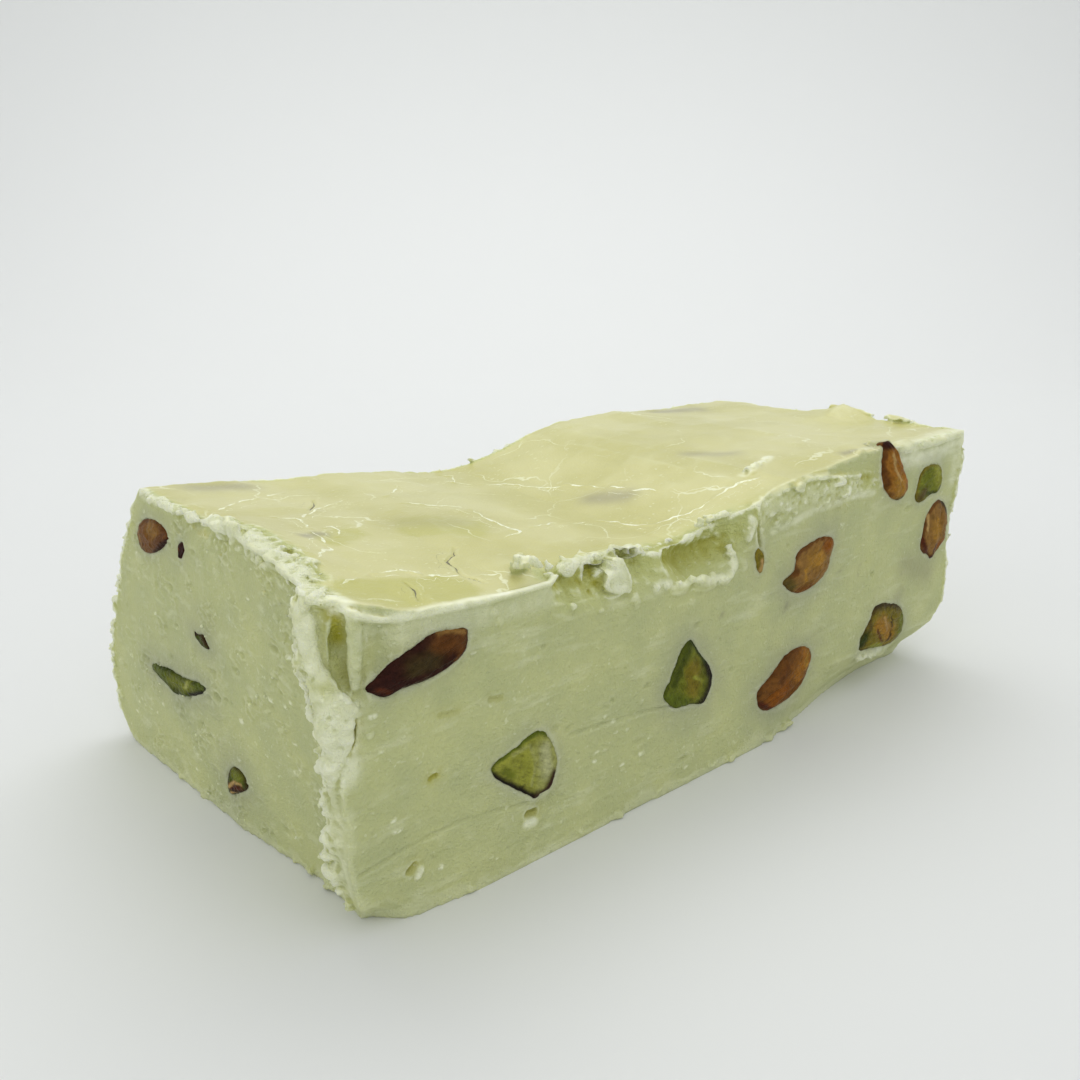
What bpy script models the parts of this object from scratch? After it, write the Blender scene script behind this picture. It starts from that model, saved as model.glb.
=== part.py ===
"""A slab of pistachio nut fudge, cut from a loaf: one block of fudge and the kernels that show in its faces.

Run it with blender --background --python part.py, or from Blender's text editor.
The slab lies along X, its long knife-cut face looks along -Y and its short cut end along -X. +Z is up.
"""

import math

import bmesh
import bpy
from mathutils import Matrix, Vector, noise

MM = 0.001

# Driving dimensions of the slab, in millimetres
LENGTH = 130.0
DEPTH = 64.0
HEIGHT = 44.0

# Height of the top skin along the front edge and along the back, by distance from the left cut
TOP_FRONT = ((0.0, 43.9), (11.0, 41.1), (26.0, 39.8), (46.0, 39.2), (56.0, 38.0), (79.0, 44.4), (104.0, 45.4), (130.0, 44.8))
TOP_BACK = ((0.0, 45.0), (28.0, 42.0), (57.0, 38.0), (84.0, 43.2), (97.0, 43.0), (116.0, 41.5), (130.0, 41.4))
# Swells of the skin between them: centre x, centre y, reach along x, reach along y, rise
TOP_SWELLS = (
    (0.0, 26.0, 14.0, 16.0, 2.0),
    (131.0, 28.0, 6.0, 5.0, 2.2),
    (26.0, 26.0, 20.0, 18.0, 0.9),
)
TOP_RIPPLE = 0.35

# The back is the loaf's own side: how far it stands out from DEPTH at each share of the height
BACK_PROFILE = ((0.0, 4.4), (0.1, 8.4), (0.3, 9.4), (0.5, 6.5), (0.66, 3.5), (0.8, 1.0), (0.93, -1.6), (1.0, -4.2))
# The right end is the loaf's end: how far it stands in from LENGTH
END_PROFILE = ((0.0, 5.5), (0.1, 2.4), (0.27, -1.4), (0.42, -1.2), (0.6, 0.2), (0.75, -1.6), (0.88, -2.4), (1.0, -1.8))

# Knife cuts
LEFT_CUT_SKEW = 0.058
FACE_UNEVENNESS = 0.30

# The long cut meets the foot in a round that grows along the slab: how far in and how high at the right end
FOOT_ROUND = 5.4
FOOT_ROUND_HEIGHT = 9.0
FOOT_ROUND_START = 78.0
FOOT_SPREAD = 1.0

# The upright edge between the cuts is set in at the foot and carries the ragged lip that the knife left
CORNER_ROUND = 4.2
CORNER_ROUND_HEIGHT = 4.5
LIP_CREST = 3.2
LIP_REACH = 7.0
LIP_PROUD = 2.5
LIP_CHAMFER = 2.6

# Stretches of the front top edge that broke away: start, end, depth into the slab, height
BREAKS = (
    (30.5, 53.0, 3.4, 6.0),
    (51.0, 70.0, 4.6, 7.5),
    (72.5, 80.0, 1.0, 9.0),
    (82.0, 104.0, 1.2, 5.0),
)
# Stretches of the left top edge that broke away: start, end, depth, height
END_BREAKS = (
    (6.0, 27.0, 1.1, 3.0),
    (30.0, 47.0, 1.8, 5.0),
)

# Gouges: face, distance along it, height, half width, half height, depth
GOUGES = (
    ("front", 0.9, 38.5, 1.6, 4.2, 2.6),
    ("front", 4.6, 38.0, 1.1, 4.0, 1.6),
    ("front", 28.2, 6.6, 1.9, 1.0, 1.1),
    ("front", 9.6, 6.2, 1.5, 1.1, 0.9),
    ("left", 33.0, 4.6, 2.0, 1.4, 0.8),
)

# Grid of the slab's faces: finest step by each face's rim, and how it grows towards the middle
FINE_STEP = 1.3
COARSE_STEP = 4.5
STEP_GROWTH = 1.18

# Pistachio kernels. Name: face, distance along it, height, length, width, turn in degrees, taper (one end
# narrower), bend, how far it stands out of the face, how deep it reaches, cut flat by the knife
KERNELS = {
    "kernel_front_1": ("front", 9.7, 34.6, 14.2, 5.3, 14, 0.12, 0.2, 0.30, 4.0, False),
    "kernel_front_2": ("front", 24.7, 14.6, 11.4, 8.1, 154, -0.46, 1.7, -0.10, 4.5, True),
    "kernel_front_3": ("front", 57.2, 18.0, 11.0, 8.8, 114, -0.28, -2.4, -0.10, 4.6, True),
    "kernel_front_4": ("front", 80.8, 9.8, 14.5, 8.0, 22, 0.19, 0.7, 0.60, 4.4, False),
    "kernel_front_5": ("front", 86.0, 28.9, 12.8, 7.6, 24, 0.15, 0.3, 0.60, 4.4, False),
    "kernel_front_6": ("front", 107.0, 40.2, 13.6, 6.0, 124, 0.05, -1.0, 1.30, 3.8, False),
    "kernel_front_7": ("front", 119.2, 36.7, 8.6, 6.6, 12, 0.10, 0.6, -0.10, 3.4, True),
    "kernel_front_8": ("front", 124.2, 27.0, 10.6, 7.6, 84, 0.05, -0.4, 0.40, 3.6, False),
    "kernel_front_9": ("front", 109.8, 10.6, 14.2, 8.6, 178, -0.14, -2.2, 0.00, 4.6, True),
    "kernel_front_10": ("front", 72.0, 32.9, 4.4, 1.8, 101, 0.10, 0.2, 0.00, 1.6, False),
    "kernel_left_1": ("left", 54.6, 39.0, 11.2, 5.1, 14, -0.30, -0.2, 0.30, 3.2, False),
    "kernel_left_2": ("left", 44.9, 39.3, 2.9, 1.6, 62, 0.20, -0.3, 0.00, 1.3, False),
    "kernel_left_3": ("left", 42.9, 18.1, 17.6, 3.4, 8, -0.15, 1.2, -0.20, 2.8, True),
    "kernel_left_4": ("left", 28.9, 7.3, 7.1, 3.8, 36, 0.10, -0.8, -0.10, 2.6, True),
    "kernel_left_5": ("left", 36.7, 27.4, 3.9, 1.5, -16, 0.20, -0.2, 0.00, 1.3, False),
    "kernel_back_1": ("back", 18.0, 26.0, 14.8, 7.2, 38, 0.15, 0.4, 0.50, 4.0, False),
    "kernel_back_2": ("back", 41.0, 13.5, 12.6, 8.8, -48, -0.45, 0.0, -0.10, 4.2, True),
    "kernel_back_3": ("back", 61.0, 25.5, 15.4, 7.4, 12, 0.20, -0.5, 0.50, 4.2, False),
    "kernel_back_4": ("back", 84.0, 15.0, 14.0, 8.2, 70, -0.30, 0.0, 0.00, 4.2, True),
    "kernel_back_5": ("back", 104.0, 29.0, 13.2, 6.8, -30, 0.20, 0.5, 0.50, 3.8, False),
    "kernel_end_1": ("end", 16.0, 18.0, 14.4, 7.4, 52, 0.15, 0.4, 0.40, 4.0, False),
    "kernel_end_2": ("end", 38.0, 28.0, 12.2, 8.8, -26, -0.45, 0.0, -0.10, 4.2, True),
    "kernel_end_3": ("end", 50.0, 12.5, 13.6, 6.8, 18, 0.15, -0.3, 0.40, 3.8, False),
}
KERNEL_SIDES = 14
POCKET_GAP = 0.3
POCKET_OPENING = 4.0

# Chips and curls of fudge left standing where the edges broke: x, y, z, length, width, height, turn in degrees
CHIPS = (
    (28.6, 4.8, 41.2, 3.4, 1.6, 3.6, 20),
    (36.5, 3.8, 39.4, 6.0, 2.2, 2.4, 8),
    (42.5, 4.2, 39.0, 6.5, 2.4, 2.6, -6),
    (48.0, 4.6, 38.5, 5.4, 2.4, 2.4, 12),
    (42.3, 0.9, 36.0, 4.4, 2.0, 4.2, 5),
    (45.7, 0.4, 33.0, 1.9, 1.5, 2.8, -10),
    (55.0, 0.7, 32.4, 5.4, 2.2, 2.2, 4),
    (60.0, 0.6, 31.8, 5.8, 2.2, 2.4, -4),
    (65.0, 0.6, 31.8, 5.4, 2.2, 2.4, 5),
    (68.6, 0.8, 33.2, 3.4, 2.4, 4.4, -8),
    (70.6, 1.6, 38.4, 2.6, 4.0, 7.0, 4),
    (80.5, 1.4, 42.0, 9.0, 3.6, 3.0, -4),
    (88.5, 1.6, 43.2, 6.0, 3.0, 2.4, 6),
    (82.0, 8.8, 43.8, 7.4, 2.2, 2.2, 24),
    (100.5, 2.0, 44.6, 3.6, 2.6, 2.2, 15),
    (112.5, 1.0, 44.4, 8.0, 3.0, 2.8, 3),
    (1.6, 32.0, 45.2, 3.6, 5.4, 3.0, 10),
    (1.3, 23.0, 45.2, 2.6, 8.0, 2.4, 4),
    (1.3, 14.5, 44.4, 2.4, 7.0, 2.2, -4),
)
CHIP_RAGGEDNESS = 0.28

COLOURS = {
    "fudge": (0.47, 0.53, 0.25, 1.0),
    "kernel_green": (0.20, 0.22, 0.03, 1.0),
    "kernel_brown": (0.22, 0.08, 0.02, 1.0),
}
ROUGHNESS = {"fudge": 0.55, "kernel_green": 0.45, "kernel_brown": 0.40}


def clear_scene():
    for obj in list(bpy.data.objects):
        bpy.data.objects.remove(obj)


def material(name):
    found = bpy.data.materials.get(name)
    if found:
        return found
    made = bpy.data.materials.new(name)
    made.use_nodes = True
    shader = made.node_tree.nodes["Principled BSDF"]
    shader.inputs["Base Color"].default_value = COLOURS[name]
    shader.inputs["Roughness"].default_value = ROUGHNESS[name]
    shader.inputs["Metallic"].default_value = 0.0
    return made


def new_object(name, mesh, look, parent=None):
    obj = bpy.data.objects.new(name, mesh)
    obj.data.materials.append(material(look))
    obj.parent = parent
    bpy.context.scene.collection.objects.link(obj)
    return obj


def smooth_step(value):
    held = min(1.0, max(0.0, value))
    return held * held * (3 - 2 * held)


def smooth_profile(profile, share):
    """The profile's value at this share, eased between its stations."""
    for (low, first), (high, second) in zip(profile, profile[1:]):
        if share <= high:
            return first + (second - first) * smooth_step((share - low) / (high - low))
    return profile[-1][1]


def swell(x, y, centre_x, centre_y, reach_x, reach_y):
    away = ((x - centre_x) / reach_x) ** 2 + ((y - centre_y) / reach_y) ** 2
    return math.exp(-away)


def wander(x, y, z, wavelength):
    """Smooth noise between -1 and 1."""
    return noise.noise(Vector((x, y, z)) / wavelength)


def stretch_share(along, start, end, ease):
    """1 inside a stretch, easing to 0 past its ends."""
    return smooth_step((along - start) / ease) * smooth_step((end - along) / ease)


def top_height(x, y):
    """Height of the top skin over the slab's foot."""
    share = y / DEPTH
    height = (1 - share) * smooth_profile(TOP_FRONT, x) + share * smooth_profile(TOP_BACK, x)
    height += sum(row[4] * swell(x, y, *row[:4]) for row in TOP_SWELLS)
    return height + TOP_RIPPLE * wander(x, y, 0.0, 17.0)


def lip(y, z):
    """How far the ragged upright lip stands out of the left cut."""
    upper = smooth_step((z - 22.0) / 16.0)
    crest = LIP_CREST * (1 + 0.9 * upper) * (1 + 0.2 * wander(0.0, 3.0, z, 5.0))
    reach = LIP_REACH * (1 + 0.4 * upper) * (1 + 0.15 * wander(5.0, 0.0, z, 3.5))
    start = 1 - 0.9 * upper
    rise = start + (1 - start) * smooth_step(y / crest)
    fall = 1 - smooth_step((y - crest) / (reach - crest))
    ragged = 1 + 0.5 * wander(2.0, y, z, 3.6)
    return LIP_PROUD * rise * fall * ragged * smooth_step((z - 1.0) / 5.0)


def break_depth(along, below_top, breaks, seed):
    """How far a broken stretch of an edge is set back, at this distance under the top."""
    depth = 0.0
    for start, end, deepest, tall in breaks:
        share = stretch_share(along, start, end, 2.5) * (1 - smooth_step(below_top / tall))
        rough = 1 + 0.7 * wander(along, seed, below_top * 0.5, 2.4)
        depth = max(depth, deepest * share * rough)
    return depth


def gouge_depth(face, along, height):
    return sum(
        deep * swell(along, height, centre, level, half_width, half_height)
        for where, centre, level, half_width, half_height, deep in GOUGES
        if where == face
    )


def slab_point(u, v, w, rough=True):
    """Where a point of the unit box lies on the slab: u along its length, v into its depth, w up."""
    x_flat = u * LENGTH
    y_flat = v * DEPTH
    top = top_height(x_flat, y_flat)
    z = top * w

    left = -LEFT_CUT_SKEW * (y_flat - 15.0) * smooth_step(y_flat / 15.0) * math.sin(math.pi * (0.62 - 0.62 * w))
    left += 1.6 * (1 - smooth_step(z / 30.0)) * (1 - smooth_step((y_flat - 10.0) / 20.0))
    right = LENGTH - smooth_profile(END_PROFILE, w)
    front = FOOT_ROUND * smooth_step((x_flat - FOOT_ROUND_START) / 40.0) * (1 - smooth_step(z / FOOT_ROUND_HEIGHT))
    front += CORNER_ROUND * (1 - smooth_step(x_flat / 6.0)) * (1 - smooth_step(z / CORNER_ROUND_HEIGHT))
    front -= FOOT_SPREAD * (1 - smooth_step(z / 16.0)) * stretch_share(x_flat, 4.0, 92.0, 14.0)
    back = DEPTH + smooth_profile(BACK_PROFILE, w)
    x = left + (right - left) * u
    y = front + (back - front) * v
    if not rough:
        return Vector((x, y, z))

    below = top - z
    near_front = 1 - smooth_step(y_flat / 9.0)
    near_left = 1 - smooth_step(x_flat / 7.0)
    upper = smooth_step((z - 22.0) / 16.0)
    y += LIP_CHAMFER * upper * (1 - smooth_step(x_flat / 3.5)) * near_front * (1 + 0.5 * wander(x, 9.0, z, 3.0))
    set_back = break_depth(x_flat, below, BREAKS, 1.0) * near_front
    y += set_back
    z -= 0.15 * set_back * w
    if v == 0:
        y += gouge_depth("front", x_flat, z)
    set_back = break_depth(y_flat, below, END_BREAKS, 7.0) * near_left
    x += set_back
    z -= 0.3 * set_back * w
    x -= lip(y_flat, z) * near_left
    if u == 0:
        x += gouge_depth("left", y_flat, z)
    grounded = 1.0 if w > 0 else 0.0
    x += FACE_UNEVENNESS * wander(x, y, z, 5.0)
    y += FACE_UNEVENNESS * wander(y, z, x, 5.0)
    z += FACE_UNEVENNESS * wander(z, x, y, 6.0) * grounded
    return Vector((x, y, z))


def stations(length, near_step, far_step):
    """Distances of the grid lines from 0 to length, fine at both rims and coarse between."""
    near, far = [0.0], [length]
    while far[-1] - near[-1] > near_step + far_step:
        if near_step <= far_step:
            near.append(near[-1] + near_step)
            near_step = min(COARSE_STEP, near_step * STEP_GROWTH)
        else:
            far.append(far[-1] - far_step)
            far_step = min(COARSE_STEP, far_step * STEP_GROWTH)
        if near_step == COARSE_STEP and far_step == COARSE_STEP:
            left_over = far[-1] - near[-1]
            count = max(1, round(left_over / COARSE_STEP))
            near += [near[-1] + left_over * step / count for step in range(1, count)]
            break
    return near + far[::-1]


def slab_mesh():
    """The block of fudge as a box of graded grids, each vertex then moved to its place on the slab."""
    grid = bmesh.new()
    bmesh.ops.create_cube(grid, size=1.0, matrix=Matrix.Translation((0.5, 0.5, 0.5)))
    lines = (
        stations(LENGTH, FINE_STEP, 2 * FINE_STEP),
        stations(DEPTH, FINE_STEP, 2.2 * FINE_STEP),
        stations(HEIGHT, 1.6 * FINE_STEP, FINE_STEP),
    )
    for axis, (places, length) in enumerate(zip(lines, (LENGTH, DEPTH, HEIGHT))):
        normal = Vector([float(axis == n) for n in range(3)])
        for place in places[1:-1]:
            bmesh.ops.bisect_plane(
                grid,
                geom=grid.verts[:] + grid.edges[:] + grid.faces[:],
                plane_co=normal * place / length,
                plane_no=normal,
                dist=1e-6,
            )
    for vertex in grid.verts:
        u, v, w = (round(share, 6) for share in vertex.co)
        vertex.co = slab_point(u, v, w) * MM
    floor = [face for face in grid.faces if all(abs(vertex.co.z) < 1e-6 for vertex in face.verts)]
    bmesh.ops.dissolve_faces(grid, faces=floor)
    bmesh.ops.recalc_face_normals(grid, faces=grid.faces)
    mesh = bpy.data.meshes.new("fudge_slab")
    grid.to_mesh(mesh)
    grid.free()
    return mesh


def face_point(face, along, height):
    """The point of a face this far along it and this high above the foot."""
    u = {"left": 0.0, "end": 1.0}.get(face, along / LENGTH)
    v = {"front": 0.0, "back": 1.0}.get(face, along / DEPTH)
    return slab_point(u, v, height / top_height(u * LENGTH, v * DEPTH), rough=False)


def face_frame(face, along, height):
    """A matrix on one of the slab's faces: X along the face as seen from outside, Z out of it."""
    step = 0.5
    rightward = -1 if face in ("left", "back") else 1
    origin = face_point(face, along, height)
    across = (face_point(face, along + step, height) - origin) * rightward
    upward = face_point(face, along, height + step) - origin
    across.normalize()
    outward = across.cross(upward).normalized()
    upward = outward.cross(across)
    frame = Matrix((across, upward, outward)).transposed().to_4x4()
    frame.translation = origin * MM
    return frame


def kernel_ring(length, width, taper, bend, scale, level, gap):
    """One closed ring of a kernel: a long egg, narrower at one end and slightly bent, widened by the gap."""
    ring = []
    for side in range(KERNEL_SIDES):
        angle = 2 * math.pi * side / KERNEL_SIDES
        along = math.cos(angle)
        across = math.sin(angle) * (1 + taper * along)
        x = (0.5 * length * scale + gap) * along
        y = (0.5 * width * scale + gap) * across + bend * (along * along - 0.5) * scale
        ring.append(Vector((x, y, level)))
    return ring


def kernel_mesh(name, size, gap=0.0, opening=0.0):
    """A kernel as stacked rings between two poles. A pocket cutter is the same kernel, larger by the gap."""
    length, width, turn, taper, bend, proud, deep, cut_flat = size
    crown = max(proud, 0.0) + gap
    rim = min(proud, 0.0)
    if cut_flat:
        domed = ((0.62, 0.92), (0.90, 0.70), (1.0, 0.0))
    else:
        domed = ((0.45, 0.88), (0.80, 0.55), (1.0, 0.0))
    rings = [(scale, rim + crown * rise) for scale, rise in domed]
    rings += [(scale, rim - share * (deep + gap)) for scale, share in ((1.02, 0.22), (0.90, 0.55), (0.60, 0.85))]
    if opening:
        rings = [(1.04, opening), (1.0, 0.3)] + rings[2:]
    shape = bmesh.new()
    rows = []
    for scale, level in rings:
        points = kernel_ring(length, width, taper, bend, scale, level, gap)
        rows.append([shape.verts.new(point * MM) for point in points])
    for upper, lower in zip(rows, rows[1:]):
        for side in range(KERNEL_SIDES):
            after = (side + 1) % KERNEL_SIDES
            shape.faces.new((upper[side], lower[side], lower[after], upper[after]))
    top_level = opening if opening else rim + crown
    top_pole = shape.verts.new(Vector((0, 0, top_level)) * MM)
    low_pole = shape.verts.new(Vector((0, 0, rim - deep - gap)) * MM)
    for side in range(KERNEL_SIDES):
        after = (side + 1) % KERNEL_SIDES
        shape.faces.new((top_pole, rows[0][side], rows[0][after]))
        shape.faces.new((low_pole, rows[-1][after], rows[-1][side]))
    bmesh.ops.recalc_face_normals(shape, faces=shape.faces)
    bmesh.ops.rotate(shape, verts=shape.verts, cent=(0, 0, 0), matrix=Matrix.Rotation(math.radians(turn), 3, "Z"))
    mesh = bpy.data.meshes.new(name)
    shape.to_mesh(mesh)
    shape.free()
    return mesh


def add_chips(collection):
    """The chips and curls, each a squashed ball with a ragged surface, sunk partly into its edge."""
    for number, (x, y, z, length, width, height, turn) in enumerate(CHIPS):
        shape = bmesh.new()
        bmesh.ops.create_icosphere(shape, subdivisions=2, radius=0.5)
        for vertex in shape.verts:
            ragged = wander(*(vertex.co + Vector((number, 0, 0))), 0.42)
            vertex.co *= 1 + CHIP_RAGGEDNESS * ragged
            vertex.co = vertex.co * Vector((length, width, height))
        bmesh.ops.rotate(shape, verts=shape.verts, matrix=Matrix.Rotation(math.radians(turn), 3, "Z"))
        bmesh.ops.translate(shape, verts=shape.verts, vec=(x, y, z))
        bmesh.ops.scale(shape, verts=shape.verts, vec=(MM, MM, MM))
        mesh = bpy.data.meshes.new("chip")
        shape.to_mesh(mesh)
        shape.free()
        collection.objects.link(bpy.data.objects.new("chip", mesh))


def apply_boolean(target, collection, operation, solver):
    modifier = target.modifiers.new(operation.lower(), "BOOLEAN")
    modifier.operation = operation
    modifier.operand_type = "COLLECTION"
    modifier.collection = collection
    modifier.solver = solver
    bpy.context.view_layer.update()
    evaluated = target.evaluated_get(bpy.context.evaluated_depsgraph_get())
    result = bpy.data.meshes.new_from_object(evaluated)
    result.name = target.name
    target.modifiers.clear()
    target.data = result
    for helper in list(collection.objects):
        bpy.data.objects.remove(helper)
    bpy.data.collections.remove(collection)


def helper_collection(name):
    collection = bpy.data.collections.new(name)
    bpy.context.scene.collection.children.link(collection)
    return collection


def main():
    clear_scene()
    centre = bpy.data.objects.new("slab_centre", None)
    bpy.context.scene.collection.objects.link(centre)
    slab = new_object("fudge_slab", slab_mesh(), "fudge", centre)

    chips = helper_collection("chips")
    add_chips(chips)
    apply_boolean(slab, chips, "UNION", "MANIFOLD")

    pockets = helper_collection("pockets")
    for name, (face, along, height, *size) in KERNELS.items():
        frame = face_frame(face, along, height)
        look = "kernel_green" if size[-1] else "kernel_brown"
        kernel = new_object(name, kernel_mesh(name, size), look, centre)
        kernel.matrix_world = frame
        cutter = bpy.data.objects.new("pocket", kernel_mesh("pocket", size, POCKET_GAP, POCKET_OPENING))
        cutter.matrix_world = frame
        cutter.hide_render = True
        cutter.display_type = "WIRE"
        pockets.objects.link(cutter)
    apply_boolean(slab, pockets, "DIFFERENCE", "MANIFOLD")

    bpy.context.view_layer.update()
    corners = [child.matrix_world @ vertex.co for child in centre.children for vertex in child.data.vertices]
    for axis in (0, 1):
        lowest = min(corner[axis] for corner in corners)
        highest = max(corner[axis] for corner in corners)
        centre.location[axis] = -0.5 * (lowest + highest)


main()
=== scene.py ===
import math

import bmesh
import bpy
import numpy as np
from mathutils import Matrix, Vector
from mathutils.bvhtree import BVHTree


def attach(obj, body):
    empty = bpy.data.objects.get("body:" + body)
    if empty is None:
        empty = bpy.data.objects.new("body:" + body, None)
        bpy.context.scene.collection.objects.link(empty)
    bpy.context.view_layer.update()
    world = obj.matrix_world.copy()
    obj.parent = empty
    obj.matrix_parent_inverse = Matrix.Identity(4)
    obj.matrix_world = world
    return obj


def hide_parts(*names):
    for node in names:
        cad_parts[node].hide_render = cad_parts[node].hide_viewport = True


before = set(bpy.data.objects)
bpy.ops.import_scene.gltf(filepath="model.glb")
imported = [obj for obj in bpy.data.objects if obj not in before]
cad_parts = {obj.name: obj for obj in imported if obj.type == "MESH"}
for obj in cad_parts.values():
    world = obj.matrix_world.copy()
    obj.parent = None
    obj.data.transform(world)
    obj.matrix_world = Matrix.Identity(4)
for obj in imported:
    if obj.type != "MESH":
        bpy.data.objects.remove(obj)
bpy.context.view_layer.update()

# The block of fudge. It is one piece of set sugar, milk and butter, cut from a loaf with a knife, so its two
# near sides are cut faces and its top is the skin it set with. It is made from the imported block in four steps:
# torn lumps are added to its edges, all of it is meshed finely as one body, its surface is then moved to
# show pits, drag marks and cracks, and what each part of the surface is like is kept in attributes.
# Places on it are in millimetres from the foot of the upright edge between the two cuts. KEPT_FACES is how many
# of the fine mesh's four-sided faces the thinning keeps. The skin begins between the two SKIN_HEIGHTS.
MM = 0.001
EDGE_FOOT = np.array((-64.9, -37.1, 0.0))
VOXEL = 0.30
KEPT_FACES = 150000
SKIN_HEIGHTS = (36.0, 37.5)


def smooth(values, low, high):
    """0 below low, 1 above high, and an S curve between."""
    share = np.clip((values - low) / (high - low), 0.0, 1.0)
    return share * share * (3 - 2 * share)


def grainy(points, grain, seed):
    """Smooth random bumps between about -1 and 1, one bump to a grain. grain is one size or one for each axis."""
    cell = points / np.asarray(grain, float) + seed * 17.31
    base = np.floor(cell).astype(np.int64)
    inside = cell - base
    ease = inside * inside * inside * (inside * (6 * inside - 15) + 10)
    total = np.zeros(len(points))
    for corner in range(8):
        step = np.array((corner & 1, corner >> 1 & 1, corner >> 2 & 1))
        key = (base + step).astype(np.uint64)
        code = key[:, 0] * np.uint64(73856093) ^ key[:, 1] * np.uint64(19349663) ^ key[:, 2] * np.uint64(83492791)
        code = (code ^ code >> np.uint64(13)) * np.uint64(2654435761) & np.uint64(0xFFFFFFFF)
        code = (code ^ code >> np.uint64(15)) * np.uint64(2246822519) & np.uint64(0xFFFFFFFF)
        slopes = [(code >> np.uint64(shift) & np.uint64(1023)).astype(float) / 511.5 - 1 for shift in (2, 12, 22)]
        rise = sum(slope * (inside[:, axis] - step[axis]) for axis, slope in enumerate(slopes))
        total += rise * np.prod(np.where(step, ease, 1 - ease), axis=1)
    return total * 1.5


def distance_to(points, path):
    """How far each point is from a path of straight stretches. The path may be in the plane or in space."""
    path = np.asarray(path, float)
    flat = points[:, : path.shape[1]]
    nearest = np.full(len(points), 1e9)
    for start, end in zip(path, path[1:]):
        along = end - start
        share = np.clip((flat - start) @ along / (along @ along), 0, 1)
        nearest = np.minimum(nearest, np.linalg.norm(flat - start - share[:, None] * along, axis=1))
    return nearest


def mesh_arrays(mesh):
    """The mesh's points, its outward normals and its edges as arrays."""
    points = np.empty(len(mesh.vertices) * 3)
    mesh.vertices.foreach_get("co", points)
    normals = np.empty(len(mesh.vertices) * 3, np.float32)
    mesh.vertex_normals.foreach_get("vector", normals)
    edges = np.empty(len(mesh.edges) * 2, np.int32)
    mesh.edges.foreach_get("vertices", edges)
    return points.reshape(-1, 3), normals.reshape(-1, 3).astype(float), edges.reshape(-1, 2)


def evened(values, edges, rounds):
    """The values at the mesh's points, each evened out with its neighbours a number of times."""
    first, second = edges.T
    count = len(values)
    joined = (np.bincount(first, minlength=count) + np.bincount(second, minlength=count))[:, None]
    for _ in range(rounds):
        sums = [
            np.bincount(first, column[second], count) + np.bincount(second, column[first], count)
            for column in values.T
        ]
        values = 0.5 * values + 0.5 * np.stack(sums, 1) / joined
    return values


def merged_copy(node):
    """A CAD node's mesh in millimetres from the edge's foot, with its loose triangles joined up."""
    shape = bmesh.new()
    shape.from_mesh(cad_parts[node].data)
    bmesh.ops.remove_doubles(shape, verts=shape.verts, dist=1e-6)
    points, faces = shape_arrays(shape)
    return points / MM - EDGE_FOOT, faces


def new_object(name, data):
    """An object in the scene."""
    obj = bpy.data.objects.new(name, data)
    bpy.context.scene.collection.objects.link(obj)
    return obj


def new_mesh(name, points, faces):
    mesh = bpy.data.meshes.new(name)
    mesh.from_pydata(points, [], faces)
    return mesh


def take_up_modifiers(obj):
    """Makes the object a plain mesh, as its modifiers shape it."""
    bpy.context.view_layer.update()
    result = bpy.data.meshes.new_from_object(obj.evaluated_get(bpy.context.evaluated_depsgraph_get()))
    before = obj.data
    obj.modifiers.clear()
    obj.data = result
    bpy.data.meshes.remove(before)
    result.name = obj.name


def shape_arrays(shape):
    """The points and the faces of a bmesh, which is then freed."""
    points = np.array([vertex.co[:] for vertex in shape.verts])
    faces = [[vertex.index for vertex in face.verts] for face in shape.faces]
    shape.free()
    return points, faces


# The pistachio kernels, first their forms, which the block's pockets follow. Each is a kernel of 9 to 18 mm, whole
# in its brown skin or cut flat by the knife, that the fudge holds by its edge. A row has the kernel's outline on
# its face (along the face and up), how far it bulges, its colour, the colour and width of the skin round its
# edge, and patches: a colour, how far it reaches, and the line that it lies along.
KERNEL_COLOURS = {
    "black_skin": (0.012, 0.006, 0.005),
    "plum_skin": (0.04, 0.011, 0.007),
    "red_skin": (0.105, 0.026, 0.01),
    "chestnut": (0.15, 0.056, 0.013),
    "brown_skin": (0.21, 0.085, 0.018),
    "rust_skin": (0.3, 0.1, 0.012),
    "orange_skin": (0.38, 0.16, 0.024),
    "amber_skin": (0.45, 0.235, 0.035),
    "tan_skin": (0.32, 0.17, 0.045),
    "pale_tan": (0.56, 0.36, 0.13),
    "umber": (0.06, 0.04, 0.012),
    "olive_brown": (0.12, 0.085, 0.018),
    "mustard": (0.245, 0.195, 0.022),
    "deep_green": (0.035, 0.05, 0.006),
    "dark_green": (0.075, 0.095, 0.01),
    "green": (0.125, 0.16, 0.014),
    "leaf_green": (0.2, 0.225, 0.024),
    "lime": (0.36, 0.37, 0.055),
    "pale_lime": (0.43, 0.44, 0.13),
    "cream": (0.56, 0.57, 0.28),
}
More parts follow.
